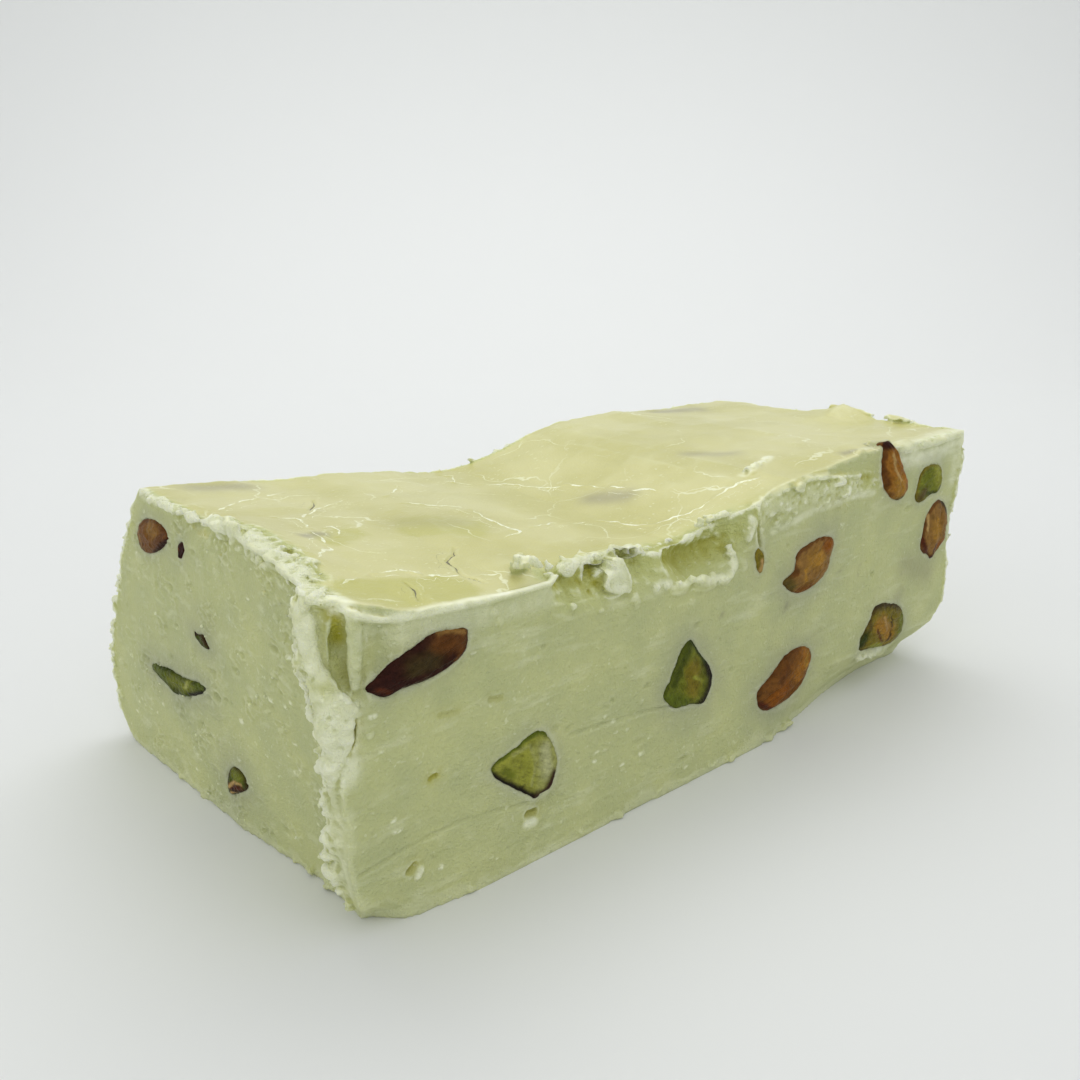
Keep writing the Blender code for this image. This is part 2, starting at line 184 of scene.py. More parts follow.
KERNEL_FORMS = {
    "kernel_front_1": {
        "outline": (
            (2.1, 33.5), (3.0, 34.1), (4.5, 35.1), (6.3, 36.1), (8.3, 36.8), (9.8, 37.6), (10.9, 38.1),
            (12.4, 38.0), (14.6, 37.7), (15.8, 37.4), (16.5, 36.9), (16.3, 35.7), (16.2, 34.7), (15.2, 33.8),
            (13.4, 33.0), (11.6, 32.5), (9.3, 32.2), (7.1, 32.2), (5.6, 32.2), (4.7, 31.7), (4.2, 32.0),
            (3.0, 32.6),
        ),
        "crown": 0.9, "flesh": "plum_skin", "rim": ("plum_skin", 0.35),
        "patches": (
            ("umber", 1.5, ((8.2, 34.5), (11.1, 35.3))),
            ("chestnut", 1.4, ((11.9, 36.7), (15.0, 36.2))),
            # The tan strip along the upper edge is a painted highlight.
            ("tan_skin", 0.35, ((12.1, 38.0), (14.6, 37.6), (15.8, 37.1))),
            ("plum_skin", 0.5, ((4.6, 33.8), (7.9, 33.0), (12.2, 32.9))),
            ("chestnut", 0.5, ((15.3, 35.4), (14.5, 33.9))),
            ("red_skin", 0.35, ((3.4, 33.2), (4.8, 32.5))),
        ),
    },
    "kernel_front_2": {
        "outline": (
            (19.7, 16.7), (21.2, 17.5), (23.3, 18.0), (25.3, 18.7), (26.9, 19.2), (27.6, 19.4), (29.0, 18.8),
            (29.9, 16.8), (30.7, 15.0), (31.1, 13.3), (30.5, 11.5), (29.8, 10.1), (28.5, 9.8), (27.0, 9.2),
            (25.7, 10.4), (23.6, 12.2), (21.8, 13.7), (20.5, 14.9), (20.0, 16.0),
        ),
        "crown": 0.25, "flesh": "lime", "rim": ("green", 0.25),
        "patches": (
            ("leaf_green", 0.7, ((21.6, 15.6), (22.8, 14.6))),
            ("pale_lime", 1.7, ((28.2, 16.8), (29.1, 13.8), (28.3, 11.6))),
            ("cream", 1.2, ((28.7, 16.2), (29.1, 13.0))),
            ("green", 0.5, ((21.2, 17.7), (25.3, 18.9), (27.4, 19.3), (29.2, 18.4))),
            ("pale_lime", 0.3, ((23.2, 17.4), (26.0, 17.9), (27.0, 15.2), (26.2, 11.8))),
            ("black_skin", 0.8, ((19.8, 15.5), (21.8, 13.6), (23.6, 12.1), (25.7, 10.4), (27.2, 9.3))),
            ("plum_skin", 0.85, ((27.2, 9.3), (28.9, 9.8), (30.0, 11.0), (30.5, 12.2))),
            ("pale_lime", 0.7, ((30.4, 15.7), (30.9, 13.1))),
        ),
    },
    "kernel_front_3": {
        "outline": (
            (57.5, 24.2), (58.9, 22.2), (60.4, 20.1), (61.9, 18.6), (62.8, 16.5), (62.7, 14.6), (61.8, 13.2),
            (60.8, 12.2), (58.6, 13.2), (56.4, 13.3), (54.3, 13.8), (53.0, 15.0), (52.0, 16.3), (52.8, 17.8),
            (53.8, 19.3), (54.6, 20.8), (55.4, 22.2), (56.4, 23.4),
        ),
        "crown": 0.3, "flesh": "leaf_green", "rim": ("dark_green", 0.35),
        "patches": (
            ("mustard", 1.7, ((58.0, 19.3), (58.4, 15.6))),
            ("dark_green", 1.0, ((57.1, 23.5), (55.7, 20.8), (54.1, 17.7))),
            ("green", 1.2, ((53.1, 15.7), (56.8, 13.7))),
            ("lime", 0.35, ((58.3, 17.7), (60.2, 16.6))),
            ("black_skin", 1.45, ((61.3, 19.4), (62.6, 16.8), (62.5, 14.4), (60.9, 12.5))),
            ("deep_green", 0.4, ((57.5, 23.9), (59.4, 21.3), (60.9, 19.4))),
        ),
    },
    "kernel_front_4": {
        "outline": (
            (74.3, 8.6), (74.3, 10.3), (75.9, 10.9), (77.7, 11.7), (79.6, 13.1), (81.5, 14.1), (84.2, 14.7),
            (87.4, 14.1), (88.8, 12.6), (88.3, 10.6), (87.2, 8.7), (85.6, 7.2), (83.0, 6.2), (80.0, 5.8),
            (77.5, 5.7), (75.1, 6.5),
        ),
        "crown": 1.2, "flesh": "brown_skin", "rim": ("chestnut", 0.4),
        "patches": (
            ("orange_skin", 1.8, ((86.6, 12.8), (83.6, 10.6))),
            ("amber_skin", 0.6, ((87.2, 13.0), (86.2, 11.2))),
            ("rust_skin", 1.5, ((77.2, 7.3), (79.8, 8.9))),
            ("chestnut", 0.8, ((81.0, 12.5), (79.1, 10.9))),
            ("deep_green", 0.38, ((88.8, 12.8), (88.1, 9.9), (85.8, 7.2), (83.6, 6.2))),
            ("red_skin", 0.5, ((74.6, 7.8), (77.5, 5.9))),
        ),
    },
    "kernel_front_5": {
        "outline": (
            (79.1, 27.6), (80.6, 28.3), (82.1, 28.7), (82.4, 30.2), (82.2, 31.8), (84.3, 32.5), (86.4, 32.9),
            (89.0, 33.2), (91.9, 32.6), (92.7, 31.0), (91.5, 29.3), (91.5, 27.6), (89.8, 26.0), (87.4, 25.0),
            (85.0, 24.5), (82.6, 25.0), (80.8, 26.1),
        ),
        "crown": 1.1, "flesh": "tan_skin", "rim": ("chestnut", 0.45),
        "patches": (
            ("amber_skin", 1.6, ((85.7, 30.0), (87.5, 30.2))),
            ("amber_skin", 0.4, ((83.9, 29.0), (84.0, 26.6))),
            ("rust_skin", 1.2, ((89.8, 31.6), (91.1, 32.0))),
            ("olive_brown", 1.0, ((79.9, 27.6), (81.3, 26.5))),
            ("brown_skin", 0.8, ((83.3, 25.3), (86.3, 25.3))),
            ("umber", 0.45, ((92.5, 30.5), (91.5, 27.6), (89.5, 25.9))),
        ),
    },
    "kernel_front_6": {
        "outline": (
            (105.4, 46.7), (107.1, 46.3), (108.4, 44.8), (109.8, 42.4), (111.4, 40.0), (112.9, 38.0),
            (112.8, 35.9), (111.4, 35.2), (109.3, 35.8), (107.3, 37.3), (105.8, 39.1), (105.1, 41.0),
            (104.9, 43.3), (105.0, 45.0), (104.8, 46.1),
        ),
        "crown": 1.6, "flesh": "orange_skin", "rim": ("brown_skin", 0.45),
        "patches": (
            ("amber_skin", 1.3, ((108.3, 39.6), (109.9, 37.0))),
            ("rust_skin", 0.9, ((109.5, 42.5), (111.6, 39.6))),
            ("pale_tan", 0.3, ((106.3, 44.6), (106.8, 41.8), (108.7, 39.7))),
            ("plum_skin", 1.2, ((104.9, 46.4), (106.6, 46.4))),
            ("chestnut", 0.5, ((104.8, 44.5), (105.0, 41.8), (106.4, 39.1))),
            ("olive_brown", 0.8, ((112.5, 36.0), (110.6, 35.5))),
        ),
    },
    "kernel_front_7": {
        "outline": (
            (117.6, 38.7), (119.0, 39.9), (121.3, 40.1), (124.2, 39.4), (125.3, 37.5), (125.4, 35.6),
            (124.3, 34.1), (121.8, 34.4), (120.0, 33.6), (118.0, 33.4), (116.7, 34.8), (117.0, 36.6),
        ),
        "crown": 0.3, "flesh": "leaf_green", "rim": ("mustard", 0.5),
        "patches": (
            ("lime", 1.2, ((122.9, 38.7), (124.2, 36.2))),
            ("olive_brown", 1.2, ((118.1, 34.5), (119.3, 35.2))),
            ("dark_green", 0.5, ((120.4, 34.8), (123.9, 34.2), (125.0, 35.5))),
        ),
    },
    "kernel_front_8": {
        "outline": (
            (124.9, 32.8), (127.7, 31.3), (128.6, 29.0), (128.4, 26.6), (128.7, 24.0), (126.4, 22.9),
            (124.7, 20.9), (123.4, 22.4), (121.1, 23.3), (120.4, 25.2), (120.7, 27.1), (121.2, 29.5),
            (122.2, 31.2), (123.3, 32.4),
        ),
        "crown": 1.1, "flesh": "tan_skin", "rim": ("chestnut", 0.4),
        "patches": (
            ("amber_skin", 1.2, ((123.8, 28.6), (123.8, 26.6))),
            ("rust_skin", 0.8, ((126.8, 24.4), (124.8, 23.7))),
            ("umber", 0.8, ((126.1, 32.2), (128.4, 30.0))),
            ("red_skin", 0.4, ((120.5, 26.2), (121.3, 24.1), (123.0, 22.3))),
            ("plum_skin", 0.3, ((124.3, 24.4), (124.4, 22.4), (124.3, 21.2))),
            ("pale_tan", 0.3, ((121.7, 30.4), (121.6, 27.5))),
        ),
    },
    "kernel_front_9": {
        "outline": (
            (106.2, 13.8), (106.8, 15.5), (108.6, 16.2), (111.9, 15.5), (115.1, 14.5), (117.2, 12.4),
            (118.3, 10.0), (118.1, 7.9), (115.9, 6.8), (113.3, 6.6), (109.2, 7.4), (106.2, 7.9), (104.6, 7.9),
            (103.3, 8.7), (103.6, 10.2), (104.7, 11.0),
        ),
        "crown": 0.6, "flesh": "mustard", "rim": ("olive_brown", 0.4),
        "patches": (
            ("amber_skin", 1.7, ((109.0, 12.4), (112.8, 9.4))),
            ("leaf_green", 1.0, ((116.8, 11.6), (117.0, 8.6))),
            ("umber", 1.4, ((107.0, 16.4), (111.4, 16.2), (115.6, 14.6))),
            ("olive_brown", 0.6, ((106.0, 14.6), (106.4, 12.0))),
            ("umber", 0.28, ((112.9, 12.8), (113.5, 9.0), (112.4, 7.9))),
            ("chestnut", 0.28, ((108.4, 11.2), (110.3, 8.7), (111.8, 7.2))),
            ("pale_tan", 0.3, ((110.2, 13.2), (111.4, 10.6))),
            ("lime", 0.7, ((107.6, 8.0), (111.2, 7.2))),
            ("deep_green", 1.1, ((103.2, 8.8), (105.4, 10.6))),
        ),
    },
    "kernel_front_10": {
        "outline": (
            (72.1, 34.9), (72.8, 34.9), (73.9, 33.4), (73.8, 31.9), (73.5, 30.7), (72.7, 30.8), (72.1, 32.5),
            (71.9, 33.8),
        ),
        "crown": 0.3, "flesh": "mustard", "rim": ("mustard", 0.2),
        "patches": (
            ("pale_tan", 0.4, ((73.0, 32.9), (72.9, 31.3))),
        ),
    },
    "kernel_left_1": {
        "outline": (
            (59.9, 38.6), (59.0, 40.1), (56.0, 41.4), (52.7, 41.7), (50.6, 41.2), (48.2, 40.2), (49.7, 39.0),
            (52.3, 37.3), (54.9, 36.2), (57.5, 35.8), (59.3, 36.4),
        ),
        "crown": 0.8, "flesh": "brown_skin", "rim": ("chestnut", 0.35),
        "patches": (
            ("tan_skin", 1.2, ((54.2, 40.4), (52.4, 40.0))),
            ("tan_skin", 0.35, ((58.0, 38.8), (57.4, 36.7))),
            ("chestnut", 0.8, ((50.3, 40.2), (51.8, 38.6))),
            ("plum_skin", 0.45, ((48.2, 40.2), (50.8, 38.3), (53.4, 36.7))),
            ("chestnut", 0.5, ((59.3, 36.9), (57.1, 36.1))),
        ),
    },
    "kernel_left_2": {
        "outline": (
            (45.4, 40.2), (44.4, 40.6), (43.4, 40.1), (44.2, 38.9), (45.0, 37.8), (45.6, 38.7),
        ),
        "crown": 0.2, "flesh": "plum_skin", "rim": ("plum_skin", 0.2),
        "patches": (
            ("brown_skin", 0.3, ((45.2, 39.4),)),
        ),
    },
    "kernel_left_3": {
        "outline": (
            (57.7, 16.9), (56.7, 18.2), (53.5, 18.7), (50.3, 19.1), (47.7, 19.0), (44.4, 19.5), (41.5, 20.1),
            (39.3, 20.2), (39.5, 19.5), (41.9, 18.0), (45.3, 16.6), (49.1, 15.4), (51.1, 15.5), (52.7, 16.1),
            (55.0, 16.3),
        ),
        "crown": 0.35, "flesh": "dark_green", "rim": ("deep_green", 0.4),
        "patches": (
            ("green", 0.9, ((55.7, 17.7), (52.0, 17.4))),
            ("leaf_green", 1.1, ((50.6, 17.4), (46.8, 17.9), (43.4, 18.8))),
            ("deep_green", 0.6, ((56.4, 16.3), (53.1, 15.8), (50.5, 15.2))),
            ("black_skin", 0.45, ((44.3, 17.2), (41.5, 18.3), (39.4, 19.7))),
            ("pale_lime", 0.35, ((44.5, 19.0), (45.3, 18.2))),
            ("green", 0.5, ((41.6, 19.6), (40.4, 19.7))),
        ),
    },
    "kernel_left_4": {
        "outline": (
            (35.8, 5.0), (35.4, 7.2), (34.6, 8.8), (33.3, 9.9), (31.6, 10.1), (30.3, 9.7), (29.9, 8.7),
            (29.5, 8.1), (30.5, 7.1), (32.6, 5.8), (35.1, 4.5),
        ),
        "crown": 0.35, "flesh": "dark_green", "rim": ("umber", 0.4),
        "patches": (
            ("leaf_green", 0.9, ((33.2, 8.9), (31.3, 8.9))),
            ("red_skin", 0.7, ((34.2, 6.4), (31.2, 7.4))),
            ("pale_tan", 0.28, ((34.8, 6.1), (32.8, 7.8), (30.8, 8.2))),
            ("pale_tan", 0.22, ((34.3, 5.3), (31.9, 6.7))),
            ("plum_skin", 0.3, ((33.6, 6.1), (30.7, 6.9))),
            ("umber", 0.4, ((34.6, 8.5), (35.3, 6.2))),
        ),
    },
    "kernel_left_5": {
        "outline": (
            (41.7, 28.3), (40.5, 27.9), (38.5, 28.6), (38.1, 27.6), (37.0, 26.7), (38.6, 26.5), (40.3, 27.0),
        ),
        "crown": 0.15, "flesh": "dark_green", "rim": ("plum_skin", 0.3),
        "patches": (
            ("black_skin", 0.4, ((41.7, 28.1), (40.6, 27.2), (38.9, 26.6))),
            ("umber", 0.3, ((38.9, 28.1), (38.2, 27.1))),
        ),
    },
}
HIDDEN_LOOKS = (
    ("rust_skin", "chestnut", ("amber_skin", "brown_skin")),
    ("lime", "black_skin", ("leaf_green", "pale_lime")),
    ("tan_skin", "brown_skin", ("pale_tan", "mustard")),
    ("leaf_green", "deep_green", ("mustard", "lime")),
)
# For each face: the axis that runs along it, the axis it looks along, and which way it looks.
FACES = {"front": (0, 1, -1), "left": (1, 0, -1), "back": (0, 1, 1), "end": (1, 0, 1)}
HIGH_AXIS = 2


def face_of(node):
    """The axes and the side of the face that a kernel shows in."""
    return FACES[node.split("_")[1]]


def round_outline(corners, count):
    """The closed outline with rounded corners, as evenly spaced points."""
    corners = np.asarray(corners, float)
    for _ in range(2):
        following = np.roll(corners, -1, axis=0)
        corners = np.stack((0.75 * corners + 0.25 * following, 0.25 * corners + 0.75 * following), 1).reshape(-1, 2)
    closed = np.vstack((corners, corners[:1]))
    run = np.concatenate(([0], np.cumsum(np.linalg.norm(np.diff(closed, axis=0), axis=1))))
    places = np.linspace(0, run[-1], count, endpoint=False)
    return np.stack([np.interp(places, run, closed[:, axis]) for axis in (0, 1)], 1)


def edge_depth(flat, outline):
    """How far inside the outline each point on the face is. It is less than nothing outside."""
    away = distance_to(flat, np.vstack((outline, outline[:1])))
    inside = np.zeros(len(flat), bool)
    for (x0, z0), (x1, z1) in zip(outline, np.roll(outline, -1, axis=0)):
        crosses = (z0 > flat[:, 1]) != (z1 > flat[:, 1])
        rise = z1 - z0 if z1 != z0 else 1e-9
        inside ^= crosses & (flat[:, 0] < x0 + (x1 - x0) * (flat[:, 1] - z0) / rise)
    return np.where(inside, away, -away)


def is_green(colour):
    red, green, _ = KERNEL_COLOURS[colour]
    return green > red


def hidden_form(node, number):
    """A form for a kernel that doesn't show: the CAD kernel's own outline, and one of four looks."""
    along, _, _ = face_of(node)
    points, _ = merged_copy(node)
    flat = points[:, (along, HIGH_AXIS)]
    middle = flat.mean(0)
    angles = np.arctan2(*(flat - middle).T[::-1])
    reach = np.linalg.norm(flat - middle, axis=1)
    outline = []
    for step in range(20):
        angle = -math.pi + (step + 0.5) * math.pi / 10
        near = np.abs((angles - angle + math.pi) % (2 * math.pi) - math.pi) < 0.4
        radius = reach[near].max() * (1 + 0.05 * math.sin(3 * angle + number))
        outline.append(middle + radius * np.array((math.cos(angle), math.sin(angle))))
    flesh, skin_colour, (light, dark) = HIDDEN_LOOKS[number % len(HIDDEN_LOOKS)]
    near_end, far_end = outline[3], outline[13]
    patches = (
        (light, 1.5, (middle + 0.2 * (near_end - middle), middle + 0.3 * (far_end - middle))),
        (dark, 0.7, (middle + 0.8 * (far_end - middle), middle + 0.9 * (outline[10] - middle))),
    )
    crown = 0.3 if is_green(flesh) else 1.1
    return {"outline": outline, "crown": crown, "flesh": flesh, "rim": (skin_colour, 0.5), "patches": patches}


kernel_nodes = sorted(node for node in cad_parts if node.startswith("kernel"))
for number, node in enumerate(kernel_nodes):
    if node not in KERNEL_FORMS:
        KERNEL_FORMS[node] = hidden_form(node, number)

# The torn edges of the block. Where the knife dragged and where the skin broke, the fudge stands in crumbs and
# flakes of 0.5 to 3 mm. Each stretch of edge has a path, how many flakes it has to a millimetre, how far they
# stray from the path, their smallest and largest size, and how much they are flattened along x, y and z. A flake
# thinner than SMALLEST_FLAKE would fall apart into beads when the block is meshed as one body.
SMALLEST_FLAKE = 0.36
TORN_STRETCHES = {
    "upright_fray": (
        (
            (0.4, 4.4, 2), (-0.8, 4.4, 8), (-1.9, 4.2, 14), (-1.6, 4.4, 20), (-1.8, 4.9, 26), (-1.9, 5.6, 30),
            (-2.2, 6.6, 34), (-2.4, 6.2, 38), (-2.0, 7.8, 42),
        ),
        4.6, (0.15, 0.3, 0.3), (0.3, 1.15), (1.15, 1.1, 0.4),
    ),
    "upright_strip": (
        ((-1.4, 2.2, 8), (-1.9, 2.2, 15), (-1.7, 2.4, 24)), 1.0, (0.12, 0.8, 0.8), (0.25, 0.8), (0.4, 1.2, 0.9),
    ),
    "upright_top": (
        ((-2.0, 7.0, 40), (-1.4, 7.2, 43.4), (-0.2, 5.0, 44.2)), 4.0, (0.4, 0.8, 0.3), (0.35, 1.1), (0.9, 1.2, 0.5),
    ),
    "upright_skirt": (
        ((-0.6, 10.0, 30), (-0.5, 10.8, 36), (-0.3, 10.8, 42)), 1.6, (0.15, 0.9, 0.9), (0.3, 0.8), (0.4, 1.1, 0.9),
    ),
    "fold_edge": (
        ((0.2, 1.0, 32.6), (0.9, 0.7, 30.8), (-0.2, 0.9, 28.4), (-1.2, 1.0, 24.6)), 2.0, (0.2, 0.2, 0.3), (0.2, 0.5),
        (0.9, 0.9, 0.8),
    ),
    "corner_top": (
        ((-0.9, 9.0, 44.2), (-0.2, 6.5, 44.1), (0.6, 4.0, 43.9)), 4.0, (0.5, 0.6, 0.2), (0.4, 1.2), (1.1, 1.1, 0.4),
    ),
    "break_ridge": (
        ((36.8, 3.7, 39.8), (39.3, 3.9, 39.9), (42.9, 3.2, 39.9), (46, 3.4, 39.6), (49.5, 3.6, 39.0)), 4.0,
        (0.6, 0.45, 0.10), (0.6, 1.3), (1.5, 0.8, 0.32),
    ),
    "break_start": (
        ((30.0, 1.0, 40.6), (31.0, 0.9, 39.6), (33.5, 2.4, 40.2)), 1.4, (0.4, 0.4, 0.3), (0.3, 0.9), (1.2, 0.8, 0.5),
    ),
    "hollow_rim": (
        ((52, 4.9, 38.1), (58, 5.0, 38.3), (64, 3.8, 39.9), (69, 2.2, 41.8)), 1.0, (0.5, 0.2, 0.12), (0.4, 0.9),
        (1.5, 0.7, 0.4),
    ),
    "hollow_end": (((61, 3.6, 40.4), (67, 3.0, 41.0)), 2.0, (0.5, 0.4, 0.2), (0.3, 0.8), (1.0, 0.6, 0.8)),
    "band": (
        ((72, 0.8, 41.6), (78, 0.7, 42.2), (84, 0.7, 42.0), (96, 0.7, 41.2)), 1.0, (0.8, 0.4, 0.8), (0.6, 1.5),
        (1.5, 0.7, 0.8),
    ),
    "band_foot": (
        ((76, 0.1, 38.0), (86, 0.1, 38.6), (96, 0.1, 39.0), (103, 0.1, 38.6)), 0.9, (1.2, 0.1, 0.4), (0.35, 0.9),
        (1.5, 0.5, 0.8),
    ),
    "curl": (
        ((78.2, 8.4, 44.2), (80.7, 9.0, 44.6), (82.3, 9.0, 44.9), (86.4, 11.0, 44.4), (88.6, 11.6, 44.4)), 3.5,
        (0.3, 0.25, 0.15), (0.25, 0.7), (1.2, 0.8, 0.6),
    ),
    "by_kernel": (
        ((102.6, 2.6, 44.3), (105.0, 2.8, 44.4), (107.4, 2.0, 44.2)), 4.0, (0.6, 0.5, 0.2), (0.25, 0.7),
        (1.0, 0.9, 0.7),
    ),
    "left_ridge": (
        ((0.4, 10.5, 44.5), (0.4, 18, 45.6), (0.4, 27, 46.0), (0.2, 36, 45.6)), 1.5, (0.5, 0.5, 0.2), (0.4, 1.5),
        (0.7, 1.5, 0.5),
    ),
    "left_peaks": (
        ((0.3, 24.2, 46.5), (0.2, 27.5, 46.3), (0.3, 31.8, 46.0)), 1.6, (0.25, 0.7, 0.3), (0.7, 1.5), (0.6, 0.8, 1.3),
    ),
    "left_skin": (
        ((1.6, 11, 45.0), (2.4, 17, 45.7), (2.0, 24, 46.1), (1.6, 33, 46.0)), 0.9, (0.6, 0.8, 0.08), (0.6, 1.7),
        (1.1, 1.5, 0.22),
    ),
    "rim_tuft": (
        ((26.2, 2.6, 42.2), (27.2, 2.6, 43.2), (28.6, 2.4, 42.4), (31.5, 2.0, 41.0)), 4.0, (0.35, 0.4, 0.2),
        (0.3, 1.0), (0.8, 0.9, 0.9),
    ),
    "left_ridge_foot": (
        ((-0.1, 12, 43.2), (-0.1, 19, 44.4), (-0.1, 30, 44.6)), 1.4, (0.12, 0.7, 0.5), (0.25, 0.8), (0.4, 1.2, 0.9),
    ),
    "left_wall": (
        ((-0.4, 13, 41), (-0.3, 17, 38), (-0.5, 15, 33)), 1.6, (0.12, 1.6, 1.6), (0.25, 0.8), (0.4, 1.0, 1.0),
    ),
    "left_far": (
        ((0.2, 37, 45.2), (0.0, 47, 44.9), (0.0, 58, 44.5)), 2.0, (0.3, 0.8, 0.18), (0.3, 0.9), (0.9, 1.5, 0.4),
    ),
    "far_upright": (
        ((-2.8, 72.2, 6), (-2.5, 72.6, 16), (-1.4, 69.1, 27), (-0.4, 64.6, 36)), 1.6, (0.2, 0.4, 0.6), (0.3, 0.7),
        (0.8, 1.0, 0.6),
    ),
    "right_upright": (
        ((131.0, 1.0, 10), (131.2, 0.6, 20), (130.0, 0.6, 28), (132.0, 0.6, 40)), 1.0, (0.2, 0.3, 0.8), (0.3, 0.6),
        (0.9, 0.9, 0.8),
    ),
    "back_top": (
        ((2, 59.5, 44.0), (30, 59.8, 41.0), (57, 60, 37.6), (84, 60, 42.4), (112, 60, 41.0)), 0.5, (1.2, 0.4, 0.12),
        (0.4, 0.8), (1.8, 1.0, 0.4),
    ),
    "right_back": (((131.5, 6, 44.1), (132, 30, 45.0)), 0.7, (0.3, 1.0, 0.15), (0.4, 0.9), (1.0, 1.8, 0.4)),
    "foot": (((8, -0.7, 0.8), (40, -1.0, 0.8), (80, -0.4, 0.8)), 0.7, (1.5, 0.12, 0.25), (0.3, 0.7), (1.4, 0.6, 0.7)),
    "foot_far": (
        ((52, -0.8, 0.9), (68, -0.7, 0.9), (84, -0.2, 0.9)), 1.5, (0.8, 0.15, 0.25), (0.4, 1.1), (1.4, 0.7, 0.6),
    ),
    "foot_kernel": (
        ((103.5, 0.2, 7.0), (107.5, 0.2, 6.4), (111, 0.2, 6.6)), 1.5, (0.5, 0.15, 0.4), (0.4, 1.0), (1.3, 0.6, 0.8),
    ),
    "left_foot": (
        ((2.0, 6, 0.8), (0.6, 24, 0.8), (-2.2, 60, 0.8)), 1.4, (0.12, 1.5, 0.25), (0.3, 0.7), (0.6, 1.4, 0.7),
    ),
}


def round_lump(rounds):
    """A ball of radius 1, with 12 corners after one round and 42 after two."""
    shape = bmesh.new()
    bmesh.ops.create_icosphere(shape, subdivisions=rounds, radius=1.0)
    points, faces = shape_arrays(shape)
    return points, np.array(faces)


def torn_flakes():
    """Angular flakes of torn fudge along the edges, as one set of points and faces."""
    draw = np.random.default_rng(20)
    round_points, round_faces = round_lump(1)
    points, faces = [], []
    for path, to_a_millimetre, stray, (small, large), flatness in TORN_STRETCHES.values():
        path = np.asarray(path, float)
        lengths = np.linalg.norm(np.diff(path, axis=0), axis=1)
        for _ in range(int(lengths.sum() * to_a_millimetre)):
            stretch = draw.choice(len(lengths), p=lengths / lengths.sum())
            place = path[stretch] + draw.random() * (path[stretch + 1] - path[stretch])
            place = place + draw.normal(0, 1, 3) * stray
            crowd = grainy(place[None], 4.0, 71)[0]
            size = max(SMALLEST_FLAKE, (small + (large - small) * draw.random() ** 1.6) * (1 + 0.5 * crowd))
            if crowd < -0.25:
                continue
            turn = np.array(Matrix.Rotation(draw.uniform(-0.9, 0.9), 3, Vector(draw.normal(0, 1, 3))))
            flake = round_points * draw.uniform(0.5, 1.5, (len(round_points), 1)) * draw.uniform(0.7, 1.2, 3)
            points.append((flake * flatness * size) @ turn.T + place)
            faces.append(round_faces + len(round_points) * (len(points) - 1))
    return np.concatenate(points), np.concatenate(faces)


